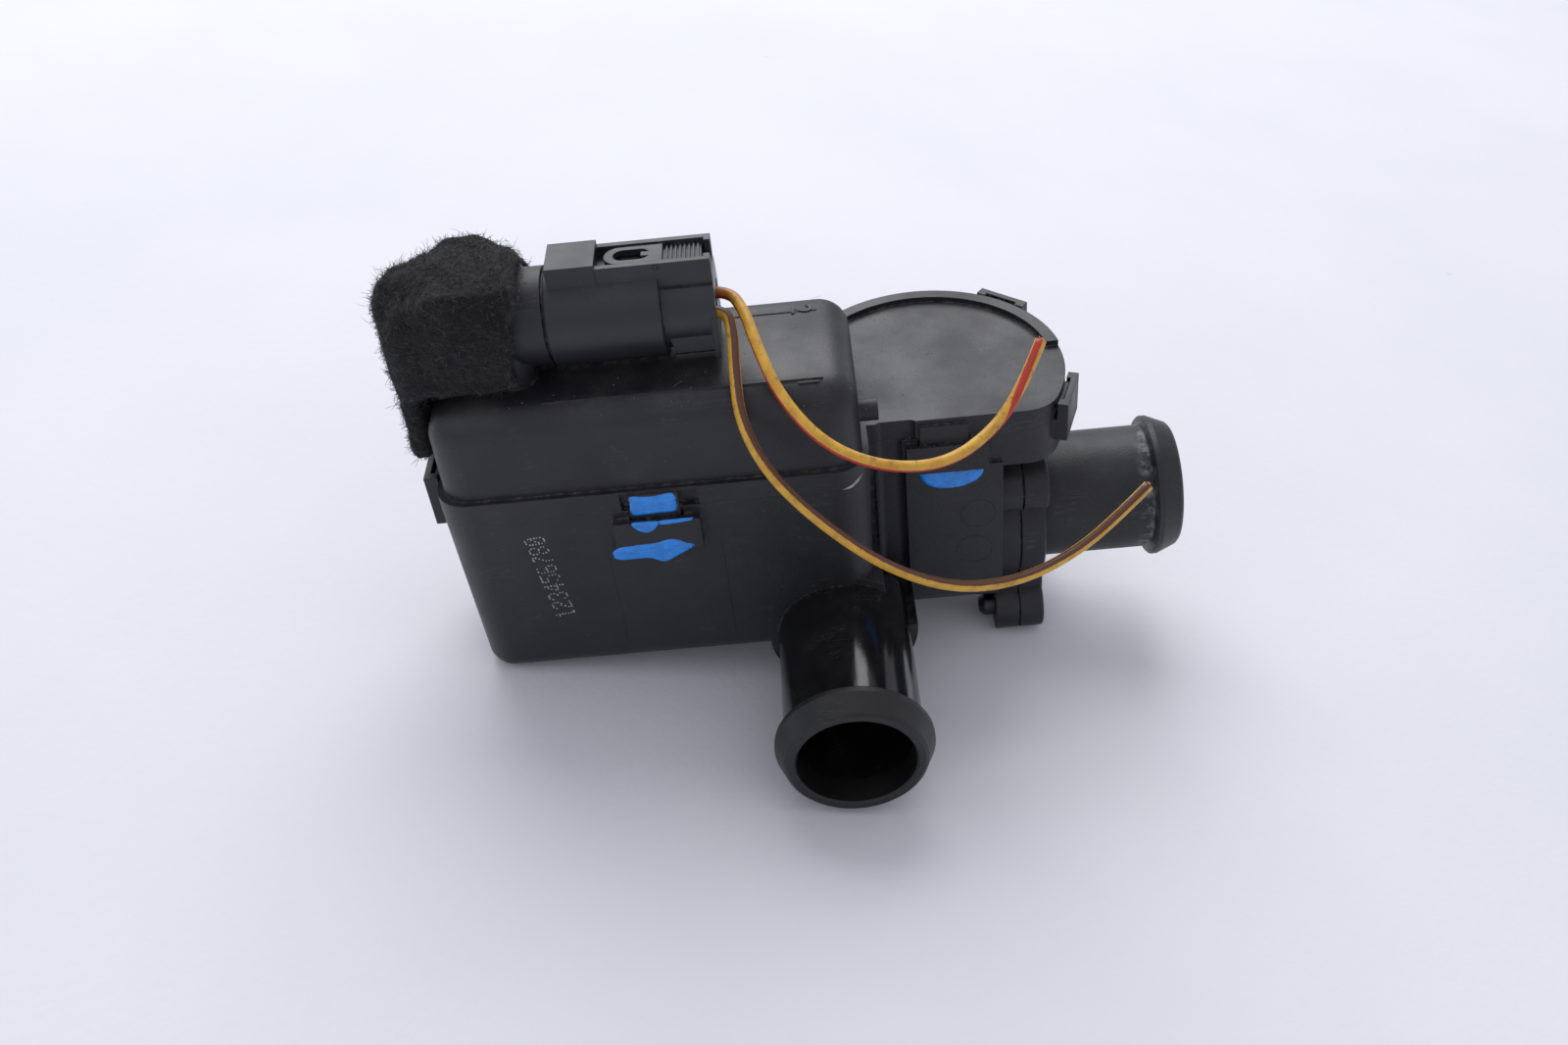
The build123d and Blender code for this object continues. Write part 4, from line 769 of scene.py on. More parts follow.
# ---- finishes of the CAD nodes ------------------------------------------------------------
class CadDress:
    """Gives every CAD node the finish of its material slot."""

    DARK: Colour = (0.0100, 0.0103, 0.0132)
    PALE: Colour = (0.0135, 0.0139, 0.0172)
    FINISHES: tuple[object, ...] = (
        MouldedFinish("housing_plastic", DARK, PALE, 0.46, creases=0.4, film=0.07, scuffs=0.3),
        SpigotFinish("outlet_plastic", DARK, PALE, 0.50, creases=0.5, film=0.05, scuffs=0.6,
                     ring=(0.0192, 0.0224), ring_amount=0.6),
        SpigotFinish("inlet_plastic", (0.005, 0.005, 0.0055), (0.007, 0.007, 0.0075), 0.13,
                     rough_spread=0.05, grain_depth=0.000004, creases=0.2, film=0.03, scuffs=0.35,
                     along="Y", bead=(0.0482, 0.06)),
        MouldedFinish("plug_plastic", (0.0155, 0.0165, 0.0220), (0.0190, 0.0200, 0.0265), 0.40, creases=0.25,
                      film=0.05, grain_depth=0.000012),
        MouldedFinish("seal_rubber", (0.010, 0.010, 0.010), (0.014, 0.014, 0.014), 0.70, gloss=0.3, wear=0.1),
        MetalFinish("black_steel", (0.06, 0.06, 0.065), (0.025, 0.022, 0.020), 0.38),
        MetalFinish("bearing_brass", (0.72, 0.52, 0.22), (0.36, 0.23, 0.09), 0.30),
        MetalFinish("axle_steel", (0.60, 0.60, 0.61), (0.38, 0.36, 0.34), 0.22),
        MetalFinish("can_steel", (0.52, 0.53, 0.55), (0.36, 0.36, 0.36), 0.34),
        MetalFinish("magnet_iron", (0.11, 0.11, 0.12), (0.07, 0.05, 0.04), 0.55, 1.5),
        PlainFinish("board_laminate", (0.02, 0.12, 0.05), 0.35, coat=0.4),
        PlainFinish("component_plastic", (0.32, 0.11, 0.04), 0.30, coat=0.3),
        PlainFinish("rotor_plastic", (0.12, 0.115, 0.10), 0.42),
        PlainFinish("gear_plastic", (0.74, 0.73, 0.67), 0.40, vary=0.08),
        FeltFinish(),
        SheathFinish("wire_sheath_red_stripe", (0.50, 0.035, 0.02), stain_reach=0.010),
        SheathFinish("wire_sheath_brown_stripe", (0.10, 0.035, 0.018)),
    )

    def __init__(self) -> None:
        """Build every finish once."""
        self.materials = {finish.name: finish.build() for finish in self.FINISHES}

    def build(self, frame: dict) -> None:
        """Dress the nodes.

        Args:
            frame: The loaded frame.
        """
        slots = {row["node"]: row["material_slot"] for row in frame["record"]["subparts"]}
        for name, node in frame["nodes"].items():
            node.data.materials.clear()
            node.data.materials.append(self.materials[slots[name]])


# ---- pieces built here --------------------------------------------------------------------
def make_piece(name: str, points: Sequence[Sequence[float]], faces: Sequence[Sequence[int]],
               material: bpy.types.Material) -> bpy.types.Object:
    """Make a smooth-shaded mesh object in the frame.

    Args:
        name: Its name.
        points: Vertices in metres.
        faces: Vertex numbers of each face.
        material: Its material.

    Returns:
        The object.
    """
    mesh = bpy.data.meshes.new(name)
    mesh.from_pydata([tuple(p) for p in points], [], [tuple(f) for f in faces])
    mesh.materials.append(material)
    mesh.shade_smooth()
    piece = bpy.data.objects.new(name, mesh)
    bpy.context.scene.collection.objects.link(piece)
    return piece


class Solids:
    """Collects closed shapes that become one mesh."""

    def __init__(self) -> None:
        """Start empty."""
        self.points: list[Vector] = []
        self.faces: list[tuple[int, ...]] = []

    def tube(self, line: Sequence[Vector], radii: Sequence[float], sides: int) -> None:
        """Add a capped tube along a line.

        Args:
            line: Its centreline.
            radii: Its radius at each point.
            sides: Number of its sides.
        """
        start = len(self.points)
        side = first_side(line)
        for k, (centre, radius) in enumerate(zip(line, radii)):
            ahead = line_way(line, k)
            side = (side - ahead * side.dot(ahead)).normalized()
            up = ahead.cross(side)
            for s in range(sides):
                turn = 2 * math.pi * s / sides
                self.points.append(centre + (side * math.cos(turn) + up * math.sin(turn)) * radius)
        for k in range(len(line) - 1):
            for s in range(sides):
                a, b = start + k * sides + s, start + k * sides + (s + 1) % sides
                self.faces.append((a, b, b + sides, a + sides))
        self.faces.append(tuple(reversed(range(start, start + sides))))
        self.faces.append(tuple(range(len(self.points) - sides, len(self.points))))

    def disc(self, centre: Vector, normal: Vector, radius: float, depth: float, sides: int = 10) -> None:
        """Add a thin round pad that is sunk a little in the surface under it."""
        self.tube([centre - normal * depth, centre + normal * depth * 0.6, centre + normal * depth],
                  [radius, radius, radius * 0.75], sides)

    def piece(self, name: str, material: bpy.types.Material, body: str) -> bpy.types.Object:
        """Turn the shapes into one piece that rides on a CAD body.

        Args:
            name: The piece's name.
            material: Its material.
            body: The CAD body that it rides on.

        Returns:
            The piece.
        """
        made = make_piece(name, self.points, self.faces, material)
        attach(made, body)
        return made


def line_way(line: Sequence[Vector], k: int) -> Vector:
    """Direction of a line at its point k."""
    return (line[min(k + 1, len(line) - 1)] - line[max(k - 1, 0)]).normalized()


def first_side(line: Sequence[Vector]) -> Vector:
    """A direction square to the start of a line.

    Args:
        line: The line's points.

    Returns:
        The direction.
    """
    ahead = line_way(line, 0)
    across = ahead.cross(Vector((0, 0, 1)))
    return across.normalized() if across.length > 0.05 else ahead.cross(Vector((0, 1, 0))).normalized()


@dataclass(frozen=True)
class CutWire:
    """A stranded wire that leaves the plug and ends in a bare cut.

    Places and lengths are in millimetres.  The stripe faces stripe_way along the whole wire.
    """

    name: str
    node: str
    route: tuple[Point, ...]
    stripe_way: Point
    finish: str
    plug_back: float = -42.3
    diameter: float = 1.6
    sides: int = 20
    hollow: tuple[tuple[float, float], ...] = ((0.62, 0.0), (0.60, 0.35))
    strands: int = 12
    strand_radii: tuple[float, float, float] = (0.085, 0.085, 0.075)
    strand_rings: tuple[float, ...] = (0.0, 0.19, 0.36)
    strand_sunk: float = 1.2
    strand_out: tuple[float, float] = (0.10, 0.42)
    strand_turn: float = 2.4
    seed: int = 5

    def centreline(self) -> list[Vector]:
        """Sample the smooth line through the route's control points.

        Returns:
            Points of the centreline, in metres.
        """
        data = bpy.data.curves.new(self.name + "_route", "CURVE")
        data.dimensions = "3D"
        spline = data.splines.new("NURBS")
        spline.points.add(len(self.route) - 1)
        for point, place in zip(spline.points, self.route):
            point.co = (*(c * MM for c in place), 1.0)
        spline.order_u = 3
        spline.use_endpoint_u = True
        spline.resolution_u = 16
        guide = bpy.data.objects.new(self.name + "_route", data)
        bpy.context.scene.collection.objects.link(guide)
        sampled = bpy.data.meshes.new_from_object(guide)
        line = [v.co.copy() for v in sampled.vertices]
        bpy.data.objects.remove(guide)
        bpy.data.meshes.remove(sampled)
        return line

    def build(self, dress: CadDress) -> None:
        """Args:
            dress: The finishes.
        """
        line = self.centreline()
        radius = self.diameter * MM / 2
        points: list[Vector] = []
        sides: list[float] = []
        reaches: list[float] = []
        side = first_side(line)
        wanted = Vector(self.stripe_way)
        travelled = 0.0
        for k, centre in enumerate(line):
            ahead = line_way(line, k)
            side = (side - ahead * side.dot(ahead)).normalized()
            up = ahead.cross(side)
            travelled += (centre - line[k - 1]).length if k else 0.0
            square = (wanted - ahead * wanted.dot(ahead)).normalized()
            for s in range(self.sides):
                turn = 2 * math.pi * s / self.sides
                out = side * math.cos(turn) + up * math.sin(turn)
                points.append(centre + out * radius)
                sides.append(out.dot(square))
                reaches.append(travelled)
        length = travelled
        n = self.sides
        faces = [(k * n + s, k * n + (s + 1) % n, (k + 1) * n + (s + 1) % n, (k + 1) * n + s)
                 for k in range(len(line) - 1) for s in range(n)]
        end, ahead = line[-1], line_way(line, len(line) - 1)
        rims = []
        for inner, sunk in self.hollow:
            rims.append(len(points))
            for s in range(n):
                spoke = points[(len(line) - 1) * n + s] - end
                points.append(end + spoke * inner - ahead * sunk * MM)
                sides.append(0.0)
                reaches.append(length)
        outer = (len(line) - 1) * n
        for low, high in ((outer, rims[0]), (rims[0], rims[1])):
            faces += [(low + s, low + (s + 1) % n, high + (s + 1) % n, high + s) for s in range(n)]
        faces.append(tuple(rims[1] + s for s in range(n)))
        faces.append(tuple(reversed(range(n))))
        sheath = make_piece(self.name, points, faces, dress.materials[self.finish])
        for label, values in (("stripe_side", sides), ("reach", reaches)):
            sheath.data.attributes.new(label, "FLOAT", "POINT").data.foreach_set("value", values)
        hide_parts(self.node)
        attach(sheath, "root")
        strands = self._strands(end, ahead)

    def _strands(self, end: Vector, ahead: Vector) -> bpy.types.Object:
        """Make the copper strands that show at the cut.

        Args:
            end: The centre of the cut.
            ahead: The wire's direction there.

        Returns:
            The bundle.
        """
        rng = np.random.default_rng(self.seed)
        bundle = Solids()
        side = ahead.cross(Vector((0, 0, 1))).normalized()
        up = ahead.cross(side)
        centre_ring, inner_ring, outer_ring = self.strand_rings
        radii = [radius * MM for radius in self.strand_radii]
        for k in range(self.strands):
            ring = centre_ring if k < 1 else (inner_ring if k < 5 else outer_ring)
            turn = k * self.strand_turn
            offset = (side * math.cos(turn) + up * math.sin(turn)) * ring * MM
            tip = float(rng.uniform(*self.strand_out)) * MM
            flare = offset * float(rng.uniform(0.0, 0.25))
            cut = end + offset
            bundle.tube([cut - ahead * self.strand_sunk * MM, cut, cut + flare + ahead * tip], radii, 8)
        copper = PlainFinish(self.name + "_copper", (0.68, 0.27, 0.14), 0.3, metal=1.0).build()
        return bundle.piece(self.name + "_strands", copper, "root")


WIRES = (
    CutWire("red_striped_wire", "wire_red_stripe", (
        (-46.3, -11.2, 51.5), (-40.9, -11.2, 51.5), (-38.8, -15.2, 50.6), (-37.5, -20.5, 48.5),
        (-34.9, -27.8, 44.6), (-29.6, -33.0, 39.8), (-22.2, -35.2, 36.8), (-13.6, -33.2, 34.7),
        (-6.4, -28.2, 36.0), (-1.9, -23.8, 39.8), (1.0, -20.0, 44.2),
    ), (-0.55, -0.75, -0.50), "wire_sheath_red_stripe"),
    CutWire("brown_striped_wire", "wire_brown_stripe", (
        (-46.3, -15.8, 51.5), (-41.2, -15.8, 51.5), (-40.4, -19.0, 49.3), (-40.6, -24.0, 46.0),
        (-40.3, -29.4, 41.6), (-37.0, -33.8, 35.8), (-30.4, -36.4, 28.5), (-22.0, -37.4, 20.6),
        (-12.6, -36.2, 14.6), (-3.0, -32.6, 11.8), (5.6, -28.4, 12.6), (12.2, -24.5, 15.2),
        (17.1, -21.5, 18.0),
    ), (0.40, -0.10, 1.0), "wire_sheath_brown_stripe", seed=8),
)


@dataclass(frozen=True)
class FeltWrap:
    """Needle felt laid round the socket block, with a flap down the cover's end and loose fibres.

    Places and lengths are in millimetres.  A panel has its low and high corners; a swelling has its
    centre, its reach and the push at its centre.
    """

    panels: tuple[tuple[Point, Point], ...] = (
        ((-85.2, -21.7, 57.4), (-68.4, -5.4, 60.6)),
        ((-85.2, -21.9, 45.0), (-69.6, -20.1, 60.0)),
        ((-85.2, -6.9, 45.0), (-68.2, -5.2, 60.0)),
        ((-86.4, -21.6, 44.6), (-83.1, -5.4, 60.0)),
        ((-87.3, -20.4, 33.9), (-84.75, -7.0, 58.0)),
    )
    swellings: tuple[tuple[Point, float, Point], ...] = (
        ((-86.0, -15.0, 57.0), 5.5, (-1.1, -0.2, 0.3)),
        ((-79.0, -14.0, 60.6), 6.5, (-0.1, 0.0, 0.9)),
        ((-77.0, -21.9, 53.0), 6.0, (0.0, -0.5, 0.0)),
        ((-69.0, -20.0, 48.0), 4.0, (-1.2, -0.2, 0.0)),
        ((-87.0, -18.5, 36.0), 3.0, (-0.4, -0.5, 0.3)),
        ((-85.5, -5.5, 60.5), 7.5, (1.8, -1.2, -2.0)),
        ((-85.5, -21.5, 60.5), 7.0, (1.6, 1.2, -1.9)),
        ((-70.0, -21.5, 60.0), 5.0, (-0.2, 1.2, -0.8)),
        ((-68.6, -5.6, 60.6), 6.0, (-1.5, -0.9, -1.7)),
    )
    lumps: tuple[tuple[float, float], ...] = ((0.5, 0.24), (1.7, 0.10))
    inner_lumps: float = 0.2
    voxel: float = 0.42
    fill: float = 0.7
    fibres: int = 15000
    long_fibre: tuple[float, float] = (1.2, 2.8)
    short_fibre: tuple[float, float] = (0.5, 1.3)
    fibre_radius: tuple[float, float] = (0.018, 0.034)
    fibre_taper: tuple[float, ...] = (1.0, 1.0, 1.0, 1.0, 0.9, 0.5)
    fibre_sunk: float = 0.08
    every_long: int = 12
    every_pale: int = 17
    seed: int = 41

    def build(self, dress: CadDress) -> None:
        """Make the felt and its fibres.

        Args:
            dress: The finishes.
        """
        felt = self._shell(dress.materials["felt"])
        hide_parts("felt_wrap")
        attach(felt, "root")
        self._fibres(felt)

    def _shell(self, material: bpy.types.Material) -> bpy.types.Object:
        """Fuse the panels into one soft skin.

        Args:
            material: The felt's finish.

        Returns:
            The felt without its fibres.
        """
        blocks = bmesh.new()
        for low, high in self.panels:
            for corner in bmesh.ops.create_cube(blocks, size=1.0)["verts"]:
                corner.co = Vector([(lo + hi) / 2 * MM + c * (hi - lo) * MM
                                    for c, lo, hi in zip(corner.co, low, high)])
        mesh = bpy.data.meshes.new("felt_panels")
        blocks.to_mesh(mesh)
        blocks.free()
        guide = bpy.data.objects.new("felt_panels", mesh)
        bpy.context.scene.collection.objects.link(guide)
        fused = guide.modifiers.new("fuse", "REMESH")
        fused.mode = "VOXEL"
        fused.voxel_size = self.voxel * MM
        soft = guide.modifiers.new("soften", "SMOOTH")
        soft.factor = 0.5
        soft.iterations = 20
        bpy.context.view_layer.update()
        shaped = bpy.data.meshes.new_from_object(guide.evaluated_get(bpy.context.evaluated_depsgraph_get()))
        bpy.data.objects.remove(guide)
        for v, way in zip(shaped.vertices, [n.vector.copy() for n in shaped.vertex_normals]):
            push = Vector()
            for centre, reach, amount in self.swellings:
                near = (v.co / MM - Vector(centre)).length / reach
                if near < 1.0:
                    push += Vector(amount) * (1 - near * near) ** 2
            spot = v.co / MM
            rough = sum(noise.noise(spot * scale) * height for scale, height in self.lumps)
            outward = way.x < -0.2 or way.y < -0.2 or way.z > 0.2
            v.co += (push + way * (rough if outward else self.inner_lumps * rough)) * MM
        shaped.name = "felt_wrap_cloth"
        shaped.materials.clear()
        shaped.materials.append(material)
        shaped.shade_smooth()
        felt = bpy.data.objects.new("felt_wrap_cloth", shaped)
        bpy.context.scene.collection.objects.link(felt)
        return felt

    def _fibres(self, felt: bpy.types.Object) -> None:
        """Scatter curly fibres over the felt.

        Args:
            felt: The felt that they stand on.
        """
        rng = np.random.default_rng(self.seed)
        polygons = felt.data.polygons
        areas = np.array([p.area for p in polygons])
        picks = rng.choice(len(polygons), size=self.fibres, p=areas / areas.sum())
        shares = {"felt_fibres": (Solids(), (0.026, 0.026, 0.029)),
                  "felt_pale_fibres": (Solids(), (0.17, 0.15, 0.13))}
        for number, pick in enumerate(picks):
            face = polygons[int(pick)]
            solid = shares["felt_pale_fibres" if number % self.every_pale == 0 else "felt_fibres"][0]
            reach = self.long_fibre if number % self.every_long == 0 else self.short_fibre
            length = float(rng.uniform(*reach)) * MM
            lean = Vector(rng.normal(size=3))
            lean = (lean - face.normal * lean.dot(face.normal)).normalized()
            heading = (lean + face.normal * float(rng.uniform(0.15, 0.9))).normalized()
            axis = Vector(rng.normal(size=3)).normalized()
            curl = Matrix.Rotation(float(rng.uniform(0.15, 0.75)), 3, axis)
            spot = face.center - face.normal * self.fibre_sunk * MM
            line = [spot.copy()]
            spans = len(self.fibre_taper) - 1
            for _ in range(spans):
                spot = spot + heading * (length / spans)
                heading = curl @ heading
                if heading.dot(face.normal) < -0.1:
                    heading = (heading + face.normal * 0.7).normalized()
                line.append(spot.copy())
            thick = float(rng.uniform(*self.fibre_radius)) * MM
            solid.tube(line, [thick * share for share in self.fibre_taper], 3)
        for name, (solid, colour) in shares.items():
            solid.piece(name, PlainFinish(name + "_finish", colour, 0.5).build(), "root")


class Surface:
    """Finds places on the CAD nodes along a direction."""

    FRONT_START = -0.05
    TOP_START = 0.08

    def __init__(self, frame: dict, names: Iterable[str]) -> None:
        """Collect the faces of some nodes.

        Args:
            frame: The loaded frame.
            names: The nodes.
        """
        points: list[Vector] = []
        faces: list[list[int]] = []
        for name in names:
            mesh = frame["nodes"][name].data
            start = len(points)
            points += [v.co.copy() for v in mesh.vertices]
            faces += [[start + i for i in p.vertices] for p in mesh.polygons]
        self.tree = BVHTree.FromPolygons(points, faces)

    def front(self, x: float, z: float) -> tuple[Vector, Vector]:
        """Place and outward normal where a ray from the front first meets the nodes.

        Args:
            x: Across, in millimetres.
            z: Height, in millimetres.

        Returns:
            The place in metres and the normal.

        Raises:
            ValueError: If the ray meets nothing.
        """
        start = Vector((x * MM, self.FRONT_START, z * MM))
        place, normal, _, _ = self.tree.ray_cast(start, Vector((0, 1, 0)))
        if place is None:
            raise ValueError(f"no surface lies behind x {x:.2f} mm, z {z:.2f} mm")
        return place, normal if normal.y < 0 else -normal

    def above(self, x: float, y: float) -> tuple[Vector, Vector] | None:
        """Place and normal where a ray from above first meets the nodes.

        Args:
            x: Across, in millimetres.
            y: Depth, in millimetres.

        Returns:
            The place in metres and the normal, or None where nothing lies below.
        """
        start = Vector((x * MM, y * MM, self.TOP_START))
        place, normal, _, _ = self.tree.ray_cast(start, Vector((0, 0, -1)))
        return None if place is None else (place, normal)


@dataclass(frozen=True)
class PaintMark:
    """A brushed paint mark draped over the front, from its outline in x and z, in millimetres.

    A flat mark stays at the foremost place under its outline and so bridges the gaps behind it.
    """

    name: str
    outline: tuple[tuple[float, float], ...]
    thick: float = 0.16
    sunk: float = 0.06
    rings: int = 9
    per_span: int = 8
    flat: bool = False

    def build(self, surface: Surface, material: bpy.types.Material) -> None:
        """Drape the mark.

        Args:
            surface: Where it lies.
            material: The paint.
        """
        rim = self._rim()
        mid = (sum(p[0] for p in rim) / len(rim), sum(p[1] for p in rim) / len(rim))
        count = len(rim)
        top: list[Vector] = []
        under: list[Vector] = []
        foremost = min(surface.front(x, z)[0].y for x, z in rim)
        for ring in range(self.rings + 1):
            share = (ring / self.rings) ** 0.75
            height = self.thick * math.sqrt(max(0.0, 1 - share ** 5))
            for k, (x, z) in enumerate(rim):
                ragged = 1 + 0.035 * noise.noise(Vector((x * 2.1, z * 2.1, 3.7))) * (ring / self.rings)
                px, pz = mid[0] + (x - mid[0]) * share * ragged, mid[1] + (z - mid[1]) * share * ragged
                place = surface.front(px, pz)[0]
                place.y = foremost if self.flat else place.y
                streak = 1 + 0.35 * noise.noise(Vector((px * 1.1, pz * 2.6, 0.4)))
                top.append(place + Vector((0, -1, 0)) * height * streak * MM)
                under.append(place + Vector((0, self.sunk, 0)) * MM)
        points = top + under
        half = len(top)
        faces = []
        for ring in range(self.rings):
            for k in range(count):
                a, b = ring * count + k, ring * count + (k + 1) % count
                faces.append((a, b, b + count, a + count))
                faces.append((half + a + count, half + b + count, half + b, half + a))
        last = self.rings * count
        for k in range(count):
            a, b = last + k, last + (k + 1) % count
            faces.append((a, b, half + b, half + a))
        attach(make_piece(self.name, points, faces, material), "root")

    def _rim(self) -> list[tuple[float, float]]:
        """Round the outline off into a closed smooth line.

        Returns:
            Points of the line, x and z.
        """
        rim = []
        n = len(self.outline)
        for k in range(n):
            p0, p1, p2, p3 = (self.outline[(k + d) % n] for d in (-1, 0, 1, 2))
            for s in range(self.per_span):
                t = s / self.per_span
                rim.append(tuple(0.5 * (2 * b + (c - a) * t + (2 * a - 5 * b + 4 * c - d) * t * t
                                        + (3 * b - a - 3 * c + d) * t ** 3)
                                 for a, b, c, d in zip(p0, p1, p2, p3)))
        return rim


DOTS = {
    "0": "01110 10001 10011 10101 11001 10001 01110", "1": "00100 01100 00100 00100 00100 00100 01110",
    "2": "01110 10001 00001 00110 01000 10000 11111", "3": "01110 10001 00001 00110 00001 10001 01110",
    "4": "00010 00110 01010 10010 11111 00010 00010", "5": "11111 10000 11110 00001 00001 10001 01110",
    "6": "01110 10000 10000 11110 10001 10001 01110",
    "7": "11111 00001 00010 00100 01000 01000 01000",
    "8": "01110 10001 10001 01110 10001 10001 01110",
}


@dataclass(frozen=True)
class Markings:
    """Paint marks, the running number, the moulded digits, mould lines and specks of dust.

    Places and lengths are in millimetres.  Digits have their text, x and y; a ring has x, z and its
    radius; a field of grit or lint has its ends in x and in y.
    """

    shell: Surface
    rng: np.random.Generator
    paint: tuple[PaintMark, ...] = (
        PaintMark("paint_on_clip", (
            (-57.5, 28.6), (-57.0, 30.0), (-54.2, 29.8), (-51.2, 30.1),
            (-50.8, 28.4), (-51.1, 26.9), (-54.2, 26.7), (-57.3, 26.8),
        )),
        PaintMark("paint_drip", (
            (-57.4, 26.0), (-55.4, 26.1), (-53.6, 25.9), (-54.1, 24.8), (-55.5, 24.1), (-56.9, 24.8),
        ), 0.24, flat=True),
        PaintMark("paint_streak", (
            (-53.4, 26.0), (-51.2, 26.1), (-48.9, 26.1), (-49.1, 25.6), (-51.2, 25.4), (-53.3, 25.3),
        ), 0.12, flat=True),
        PaintMark("paint_on_wall", (
            (-60.5, 21.4), (-57.6, 21.9), (-54.8, 22.0), (-52.2, 22.5), (-50.2, 21.6),
            (-49.2, 20.9), (-51.4, 19.5), (-53.7, 18.4), (-56.0, 19.3), (-60.4, 19.5),
        ), flat=True),
        PaintMark("paint_on_case", (
            (-15.9, 21.5), (-13.4, 21.7), (-11.0, 21.7), (-8.6, 21.7), (-6.5, 21.4),
            (-7.2, 19.6), (-9.0, 18.5), (-11.4, 18.1), (-13.8, 18.5), (-15.4, 19.7),
        ), flat=True),
    )
    scrape: PaintMark = PaintMark("scraped_corner", (
        (-27.6, 27.5), (-26.2, 27.9), (-25.0, 28.6), (-24.5, 28.7), (-25.1, 28.0), (-26.2, 27.4),
    ), 0.03)
    number: str = "123456780"
    number_start: tuple[float, float] = (-70.1, 7.6)
    number_end: tuple[float, float] = (-71.9, 24.4)
    row_step: float = 0.45
    dot_radius: tuple[float, float] = (0.10, 0.15)
    digits: tuple[tuple[str, float, float], ...] = (("1", -31.0, -24.0), ("2", -31.2, -6.4))
    digit_size: float = 4.2
    mould_lines: tuple[float, ...] = (-61.8, -45.3)
    mould_line_top: float = 20.0
    mould_line_length: float = 19.0
    ejector_rings: tuple[Point, ...] = ((-7.3, 12.6, 2.6), (-7.9, 5.5, 2.7))
    grit_count: int = 260
    grit_field: tuple[tuple[float, float], tuple[float, float]] = ((-84, 6), (-27, 15))
    lint_count: int = 16
    lint_field: tuple[tuple[float, float], tuple[float, float]] = ((-60, 4), (-26, 12))
    lint_spans: int = 7

    def build(self, dress: CadDress) -> None:
        """Make every mark.

        Args:
            dress: The finishes.
        """
        paint = PlainFinish("marking_paint", (0.002, 0.26, 0.86), 0.25, coat=0.5, vary=0.25,
                            grain=0.00003).build()
        for mark in self.paint:
            mark.build(self.shell, paint)
        self._number()
        scrape = PlainFinish("scraped_plastic", (0.42, 0.40, 0.37), 0.7, vary=0.5).build()
        self.scrape.build(self.shell, scrape)
        body = dress.materials["housing_plastic"]
        self._digits(body)
        self._ridges(body)
        self._specks()

    def _number(self) -> None:
        """Print the running number in dots up the front."""
        printed = Solids()
        (left, low), (right, high) = self.number_start, self.number_end
        start = Vector((left, 0, low))
        run = Vector((right - left, 0, high - low))
        along = run.normalized()
        up = Vector((-along.z, 0, along.x))
        pitch = run.length / len(self.number)
        step = pitch / 6.3
        for number, digit in enumerate(self.number):
            for row, bits in enumerate(DOTS[digit].split()):
                for column, bit in enumerate(bits):
                    if bit == "0" or self.rng.random() < 0.04:
                        continue
                    spread = self.rng.normal(scale=0.03, size=2)
                    spot = start + along * (number * pitch + column * step + float(spread[0]))
                    spot += up * ((3 - row) * self.row_step + float(spread[1]))
                    place, normal = self.shell.front(spot.x, spot.z)
                    printed.disc(place, normal, float(self.rng.uniform(*self.dot_radius)) * MM, 0.02 * MM)
        ink = PlainFinish("number_ink", (0.46, 0.46, 0.46), 0.6, vary=0.4).build()
        printed.piece("running_number", ink, "root")

    def _digits(self, material: bpy.types.Material) -> None:
        """Raise the two cavity digits on the cover.

        Args:
            material: The cover's own finish.
        """
        for text, x, y in self.digits:
            data = bpy.data.curves.new("digit_" + text, "FONT")
            data.body = text
            data.size = self.digit_size * MM
            data.extrude = 0.13 * MM
            data.bevel_depth = 0.03 * MM
            data.align_x = "CENTER"
            data.align_y = "CENTER"
            guide = bpy.data.objects.new("digit_guide_" + text, data)
            bpy.context.scene.collection.objects.link(guide)
            bpy.context.view_layer.update()
            shaped = guide.evaluated_get(bpy.context.evaluated_depsgraph_get())
            mesh = bpy.data.meshes.new_from_object(shaped)
            bpy.data.objects.remove(guide)
            mesh.materials.clear()
            mesh.materials.append(material)
            digit = bpy.data.objects.new("moulded_digit_" + text, mesh)
            bpy.context.scene.collection.objects.link(digit)
            place, _ = self.shell.above(x, y)
            lifted = Matrix.Translation((x * MM, y * MM, place.z + 0.02 * MM))
            digit.matrix_world = lifted @ Matrix.Rotation(math.radians(-90), 4, "Z")
            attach(digit, "root")

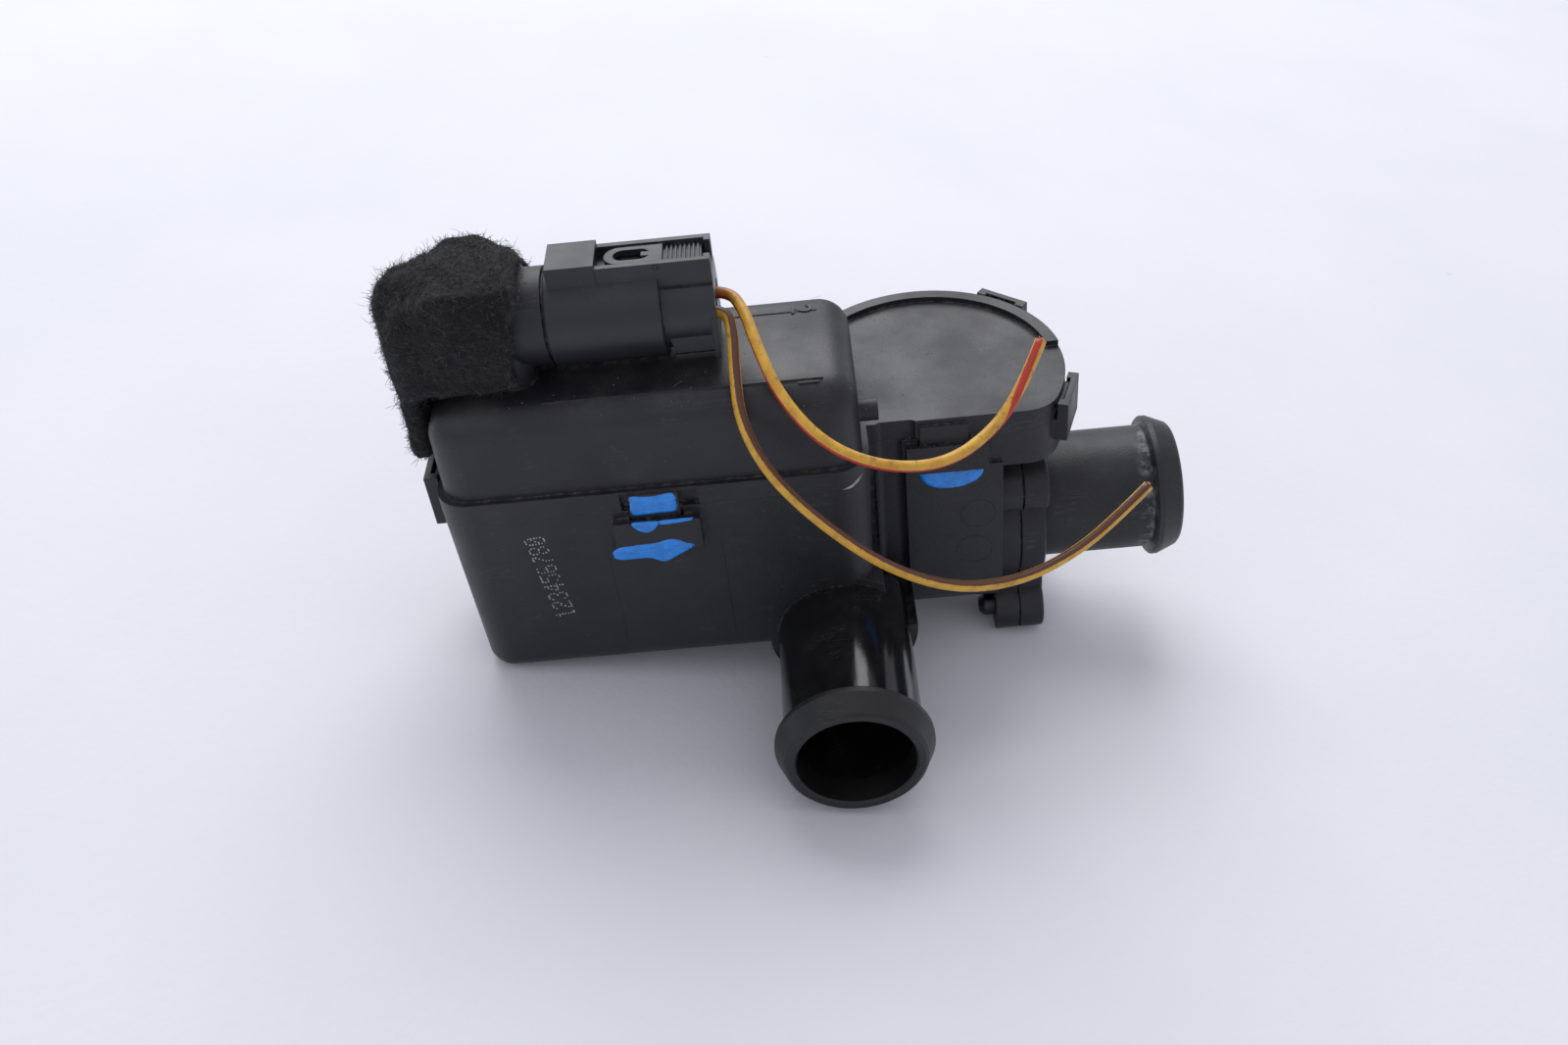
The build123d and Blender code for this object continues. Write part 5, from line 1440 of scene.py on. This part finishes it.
    def _ridges(self, material: bpy.types.Material) -> None:
        """Raise the mould lines of the tub and the two ejector rings of the valve.

        Args:
            material: The housing's own finish.
        """
        lines = Solids()
        for x in self.mould_lines:
            heights = [self.mould_line_top - self.mould_line_length * k / 24 for k in range(25)]
            line = [self.shell.front(x, z)[0] for z in heights]
            lines.tube(line, [0.05 * MM] * len(line), 6)
        for x, z, radius in self.ejector_rings:
            turn = [2 * math.pi * k / 48 for k in range(49)]
            line = [self.shell.front(x + radius * math.cos(a), z + radius * math.sin(a))[0] for a in turn]
            lines.tube(line, [0.035 * MM] * len(line), 6)
        lines.piece("mould_lines", material, "root")

    def _specks(self) -> None:
        """Scatter grit and lint over the faces that look up."""
        grit = Solids()
        for _ in range(self.grit_count):
            hit = self.shell.above(*(float(self.rng.uniform(*span)) for span in self.grit_field))
            if hit is None or hit[1].z < 0.3:
                continue
            size = float(self.rng.uniform(0.04, 0.13)) * MM
            lift = hit[1] * size * 0.4
            way = Vector(self.rng.normal(size=3)).normalized() * size
            grit.tube([hit[0] + lift - way * 0.6, hit[0] + lift, hit[0] + lift + way * 0.6],
                      [size * 0.4, size * 0.6, size * 0.3], 5)
        for _ in range(self.lint_count):
            hit = self.shell.above(*(float(self.rng.uniform(*span)) for span in self.lint_field))
            if hit is None:
                continue
            heading = Vector((*self.rng.normal(size=2), 0.0)).normalized()
            spot = hit[0] + hit[1] * 0.04 * MM
            line = [spot.copy()]
            bend = float(self.rng.uniform(-0.5, 0.5))
            for _ in range(self.lint_spans):
                heading = Matrix.Rotation(bend, 3, "Z") @ heading
                spot = spot + heading * 0.22 * MM
                line.append(spot.copy())
            grit.tube(line, [0.02 * MM] * len(line), 4)
        grit.piece("grit_and_lint", PlainFinish("grit", (0.38, 0.36, 0.33), 0.9).build(), "root")


def main() -> None:
    """Build the scene round the frame, in order."""
    logging.basicConfig(level=logging.INFO, format="%(name)s: %(message)s")
    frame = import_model()
    Camera().build()
    EffectGroups.build()
    Studio().build(frame)
    dress = CadDress()
    dress.build(frame)
    for wire in WIRES:
        wire.build(dress)
    FeltWrap().build(dress)
    shell = Surface(frame, ("lower_housing", "top_cover"))
    Markings(shell, np.random.default_rng(77)).build(dress)
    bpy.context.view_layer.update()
    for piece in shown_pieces():
        LOG.info("piece %s with %d faces", piece.name, len(piece.data.polygons))


if __name__ == "__main__":
    main()
